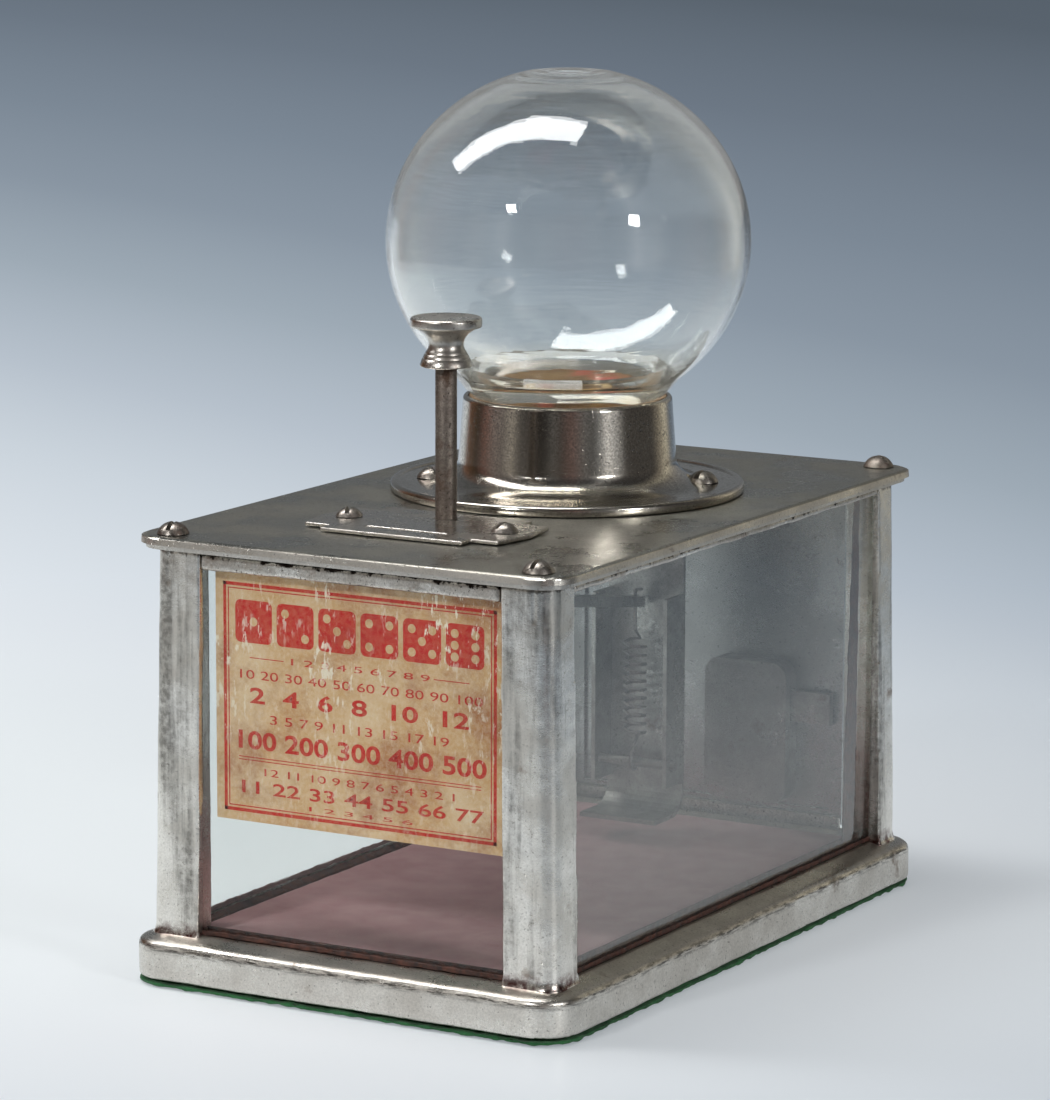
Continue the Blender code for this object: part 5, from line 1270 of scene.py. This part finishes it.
@dataclass
class Globe:
    """The collar casting, the cork, the globe and the popper in its neck."""

    flange: float = 0.0022
    mouth: float = 0.0283
    foot: float = 0.0297
    fillet_rise: float = 0.0066
    fillet_spread: float = 0.0102
    screw_hole: float = 0.0021
    spot_face: float = 0.00455
    cork_outer: float = 0.0269
    cork_bore: float = 0.0247
    cork_step: float = 0.0226
    centre: float = 0.1875
    half: float = 0.0470
    neck: float = 0.0244
    glass_outset: float = 1.0008
    wall: float = 0.0015
    outer_leaves: float = 0.0303
    inner_leaves: float = 0.0295
    shoulder: tuple[Point, ...] = (
        (28.1, 147.5), (26.6, 146.0), (25.3, 145.0), (24.55, 143.9), (24.4, 142.4),
    )
    throat: tuple[Point, ...] = (
        (27.0, 153.6), (24.6, 152.3), (23.4, 151.3), (23.0, 150.3), (23.0, 149.0), (22.9, 146.0),
        (22.7, 143.0),
    )

    def build(self) -> None:
        """Builds the turned pieces round the globe's axis."""
        self.collar()
        self.cork()
        self.glass()
        self.popper()

    def collar(self) -> None:
        """The flange, the fillet, the tapered collar and its rolled lip, with two spot faces."""
        low, high, axis, wide = round_box("globe_ring")
        base, top = low.z, high.z
        flange = base + self.flange
        mouth, foot, rise, spread = self.mouth, self.foot, self.fillet_rise, self.fillet_spread
        inner = (mouth - 1.3 * MM, top - 0.9 * MM)
        profile = [inner, (mouth - 1.27 * MM, top - 0.3 * MM)]
        profile += arc((mouth - 1.1 * MM, top - 1.3 * MM), 1.3 * MM, 85, 4, 12)
        high_line, low_line = (mouth + 0.21 * MM, top - 1.45 * MM), (foot, flange + rise)
        for t in (0, 0.03, 0.25, 0.5, 0.75, 0.97, 1):
            profile.append(tuple(a + (b - a) * t for a, b in zip(high_line, low_line)))
        unit = arc((0, 0), 1.0, 180, 270, 20)[1:]
        profile += [(foot + spread + spread * x, flange + rise + rise * z) for x, z in unit]
        profile += [(wide - 2.6 * MM, flange), (wide - 2.2 * MM, flange + 0.35 * MM)]
        profile += arc((wide - 1.2 * MM, flange - 0.75 * MM), 1.2 * MM, 100, 0, 8)
        profile += [
            (wide, base + 0.5 * MM), (wide - 0.3 * MM, base), (foot - 1.4 * MM, base),
            (foot - 1.4 * MM, base + 6.4 * MM), inner,
        ]
        ring = lathe("collar_casting", profile, axis, Level.ROUND)
        for node in ("flange_screw_right", "flange_screw_left"):
            carve(ring, lathe("spot_face", [
                (0, flange + 8 * MM), (self.spot_face, flange + 8 * MM), (self.spot_face, flange),
                (self.screw_hole, flange), (self.screw_hole, base - MM), (0, base - MM),
            ], round_box(node)[2], Level.COARSE))
        seat(settle(ring, 40.0), Finish.bright_nickel, "root", "bright_nickel", "globe_ring")

    def cork(self) -> None:
        """The cork ring between the neck and the collar."""
        low, high, axis, _ = round_box("globe_gasket")
        outer, bore, step, ledge = self.cork_outer, self.cork_bore, self.cork_step, low.z + 1.6 * MM
        ring = lathe("cork_ring", [
            (outer, high.z + 0.6 * MM), (outer, low.z), (step, low.z), (step, ledge), (bore, ledge),
            (bore, high.z - 0.6 * MM), (25.5 * MM, high.z + 0.6 * MM), (26.3 * MM, high.z + 1.5 * MM),
            (26.7 * MM, high.z + 1.4 * MM), (outer, high.z + 0.6 * MM),
        ], axis)
        seat(ring, Finish.cork, "root", "cork", "globe_gasket")

    def glass(self) -> None:
        """The globe: a flattened ball with a dimpled top, drawn in over a thick throat to a short neck."""
        low, _, axis, wide = round_box("glass_globe")
        wide *= self.glass_outset
        outer = self.wall_line(wide, self.half, self.outer_leaves, 0.14 * MM)
        outer += [(r * MM, z * MM) for r, z in self.shoulder] + [(self.neck, low.z)]
        inner = self.wall_line(wide - self.wall, self.half - self.wall, self.inner_leaves, -0.20 * MM)
        inner += [(r * MM, z * MM) for r, z in self.throat] + [(self.neck - 1.8 * MM, low.z)]
        globe = settle(lathe("globe_glass", outer + inner[::-1], axis, Level.ROUND), 80.0)
        seat(globe, Finish.globe, "root", "globe_glass", "glass_globe")

    def wall_line(self, wide: float, half: float, neck: float, ripple: float) -> list[Point]:
        """One face of the globe's wall, from its dimpled top to where it leaves the ball.

        Args:
            wide: its greatest radius.
            half: half its height.
            neck: the radius where it leaves the ball.
            ripple: how high the rings round the dimple are.

        Returns:
            The profile's points.
        """
        points = []
        for i in range(31):
            r = 0.55 * MM * i
            dish = 1.6 * MM * math.exp(-((r / (6.0 * MM)) ** 2))
            fading = math.exp(-r / (8.0 * MM))
            rings = (ripple * math.cos(r / (0.75 * MM)) + abs(ripple)) * fading
            points.append((r, self.centre + half * math.sqrt(1 - (r / wide) ** 2) - dish - rings))
        start = math.degrees(math.asin(17.0 * MM / wide))
        end = 180.0 - math.degrees(math.asin(neck / wide))
        unit = arc((0, 0), 1.0, 90.0 - start, 90.0 - end, 46)
        return points + [(wide * x, self.centre + half * z) for x, z in unit]

    def popper(self) -> None:
        """The felt on the cup, which faces the globe."""
        low, high, axis, wide = round_box("popper_felt")
        edge = 0.6 * MM
        profile = [(0, high.z - 0.25 * MM), (wide * 0.5, high.z - 0.1 * MM), (wide * 0.9, high.z)]
        profile += arc((wide - edge, high.z - edge), edge, 80, 0, 5) + [(wide, low.z), (0, low.z)]
        seat(lathe("popper_pad", profile, axis), Finish.red_felt, "popper", "red_felt", "popper_felt")


@dataclass
class Label:
    """The card behind the front pane, printed with plain dice faces, numbers and rules."""

    low: Point = (-0.0433, 0.0451)
    high: Point = (0.0433, 0.1103)
    face: float = -0.0932
    ink: float = 0.00004
    lines: tuple[tuple[str, float, float, float, float], ...] = (
        ("1 2 3 4 5 6 7 8 9", 0.335, 0.026, 0.48, 0.0),
        ("10 20 30 40 50 60 70 80 90 100", 0.405, 0.036, 0.84, 0.0),
        ("2  4  6  8  10  12", 0.490, 0.066, 0.76, 0.16),
        ("3 5 7 9 11 13 15 17 19", 0.580, 0.036, 0.62, 0.0),
        ("100 200 300 400 500", 0.672, 0.076, 0.86, 0.18),
        ("12 11 10 9 8 7 6 5 4 3 2 1", 0.795, 0.030, 0.66, 0.0),
        ("11 22 33 44 55 66 77", 0.862, 0.052, 0.84, 0.10),
        ("1 2 3 4 5 6", 0.918, 0.018, 0.36, 0.0),
    )
    rules: tuple[tuple[float, float, float], ...] = (
        (0.12, 0.24, 0.335), (0.76, 0.88, 0.335), (0.08, 0.92, 0.738), (0.08, 0.92, 0.750),
    )
    rule_half: float = 0.0018
    die: float = 0.0112
    dice_down: float = 0.19
    dice_step: float = 1.13
    pip: float = 0.105
    pip_spread: float = 0.27
    pips: tuple[tuple[Point, ...], ...] = (
        ((0, 0),), ((-1, 1), (1, -1)), ((-1, 1), (0, 0), (1, -1)), ((-1, 1), (1, 1), (-1, -1), (1, -1)),
        ((-1, 1), (1, 1), (0, 0), (-1, -1), (1, -1)),
        ((-1, 1), (1, 1), (-1, 0), (1, 0), (-1, -1), (1, -1)),
    )

    def spot(self, across: float, down: float) -> Point:
        """A place on the card from its shares across and down; returns (x, z)."""
        return (
            self.low[0] + (self.high[0] - self.low[0]) * across,
            self.high[1] - (self.high[1] - self.low[1]) * down,
        )

    def bar(self, left: float, top: float, right: float, foot: float) -> Piece:
        """A flat printed bar between two places, given as shares of the card; returns the bar."""
        (x0, z1), (x1, z0) = self.spot(left, top), self.spot(right, foot)
        return slab("bar", (x0, self.face - self.ink, z0), (x1, self.face, z1))

    def border(self, margin: float, thick: float) -> list[Piece]:
        """Four bars round the card; margin and thickness in metres."""
        wide, tall = self.high[0] - self.low[0], self.high[1] - self.low[1]
        mx, mz, tx, tz = margin / wide, margin / tall, thick / wide, thick / tall
        return [
            self.bar(mx, mz, 1 - mx, mz + tz), self.bar(mx, 1 - mz - tz, 1 - mx, 1 - mz),
            self.bar(mx, mz, mx + tx, 1 - mz), self.bar(1 - mx - tx, mz, 1 - mx, 1 - mz),
        ]

    def numbers(self, body: str, down: float, tall: float, wide: float, weight: float) -> Piece:
        """A line of numbers, fitted to a height and a width.

        Args:
            body: the numbers.
            down: how far down the card its middle is, as a share.
            tall: the height of its figures, as a share of the card's.
            wide: its width, as a share of the card's.
            weight: how much its strokes are thickened.

        Returns:
            The line, as a mesh.
        """
        deselect()
        x, z = self.spot(0.5, down)
        bpy.ops.object.text_add()
        line = bpy.context.object
        line.data.body = body
        line.data.align_x, line.data.align_y = "CENTER", "CENTER"
        line.data.size = 1.0
        line.data.offset = weight * 0.12
        line.data.resolution_u = 4
        bpy.ops.object.convert(target="MESH")
        line = bpy.context.object
        width = (self.high[0] - self.low[0]) * wide / line.dimensions.x
        height = (self.high[1] - self.low[1]) * tall / line.dimensions.y
        with editing(line, whole=True):
            push(0, 0, 1)
        line.scale = (width, height, self.ink)
        line.rotation_euler.x = math.pi / 2
        line.location = (x, self.face, z)
        return settle(line)

    def dice(self) -> tuple[list[Piece], list[Piece]]:
        """Six dice faces in a row with bare pips; returns the faces and the pips."""
        side = self.die
        first = slab("die_face", (-side / 2, -self.ink, -side / 2), (side / 2, 0, side / 2))
        with editing(first) as mesh:
            pick(mesh, first, Kind.EDGE, lambda e: abs(e.verts[0].co.y - e.verts[1].co.y) > self.ink / 2)
            bpy.ops.mesh.bevel(offset=side * 0.14, segments=4, affect="EDGES")
        deselect()
        bpy.ops.mesh.primitive_circle_add(
            vertices=20, radius=side * self.pip, fill_type="NGON", rotation=(math.pi / 2, 0, 0)
        )
        dot = bpy.context.object
        with editing(dot, whole=True):
            push(0, -self.ink * 0.6, 0)
            bpy.ops.mesh.select_all(action="SELECT")
            bpy.ops.mesh.normals_make_consistent(inside=False)
        faces, dots = [], []
        spread = side * self.pip_spread
        for count, places in enumerate(self.pips):
            x, z = self.spot(0.5, self.dice_down)
            x += (count - 2.5) * side * self.dice_step
            faces.append(self.copy(first, (x, self.face, z)))
            for a, b in places:
                dots.append(self.copy(dot, (x + a * spread, self.face - self.ink, z + b * spread)))
        for master in (first, dot):
            bpy.data.objects.remove(master)
        return faces, dots

    def copy(self, master: Piece, place: Colour) -> Piece:
        """A copy of a piece with its own mesh, moved to a place; returns the copy."""
        piece = master.copy()
        piece.data = master.data.copy()
        piece.location = place
        bpy.context.scene.collection.objects.link(piece)
        return settle(piece)

    def build(self) -> None:
        """Prints the card."""
        paint(frame["nodes"]["label_card"], Finish.card)
        faces, dots = self.dice()
        prints = faces + self.border(0.0024, 0.0009) + self.border(0.0038, 0.0003)
        prints += [self.numbers(*line) for line in self.lines]
        prints += [self.bar(x0, y - self.rule_half, x1, y + self.rule_half) for x0, x1, y in self.rules]
        for name, material, parts in (("label_print", Finish.ink, prints), ("label_pips", Finish.card, dots)):
            piece = joined(parts)
            piece.name = name
            seat(piece, material, "root", "card")


@dataclass
class Works:
    """The lever works, the leg, the spring, the door and the lock."""

    finishes: tuple[tuple[str, Material], ...] = (
        (
            "coin_chute plunger_cross_pin works_plate lever_bracket lever_pivot_pin lever works_leg"
            " leg_rivet_left leg_rivet_right spring_stud popper_stem hinge_pin lock_case lock_bolt",
            Finish.works_steel,
        ),
        ("plunger_guide popper_guide popper_cup lock_barrel", Finish.brass),
        ("hinge_leaf_post hinge_leaf_door", Finish.nickel),
        ("rear_door", Finish.door_nickel),
        ("return_spring", Finish.spring_steel),
    )

    def build(self) -> None:
        """Dresses the nodes whose own form shows."""
        for names, material in self.finishes:
            for node in names.split():
                paint(frame["nodes"][node], material)


def main() -> None:
    """Builds the studio and each sub-assembly in order."""
    logging.basicConfig(level=logging.INFO, format="%(message)s")
    for part in (Studio(), Case(), Top(), Fasteners(), Plunger(), Globe(), Label(), Works()):
        part.build()
        log.info("%s done", type(part).__name__)


if __name__ == "__main__":
    main()
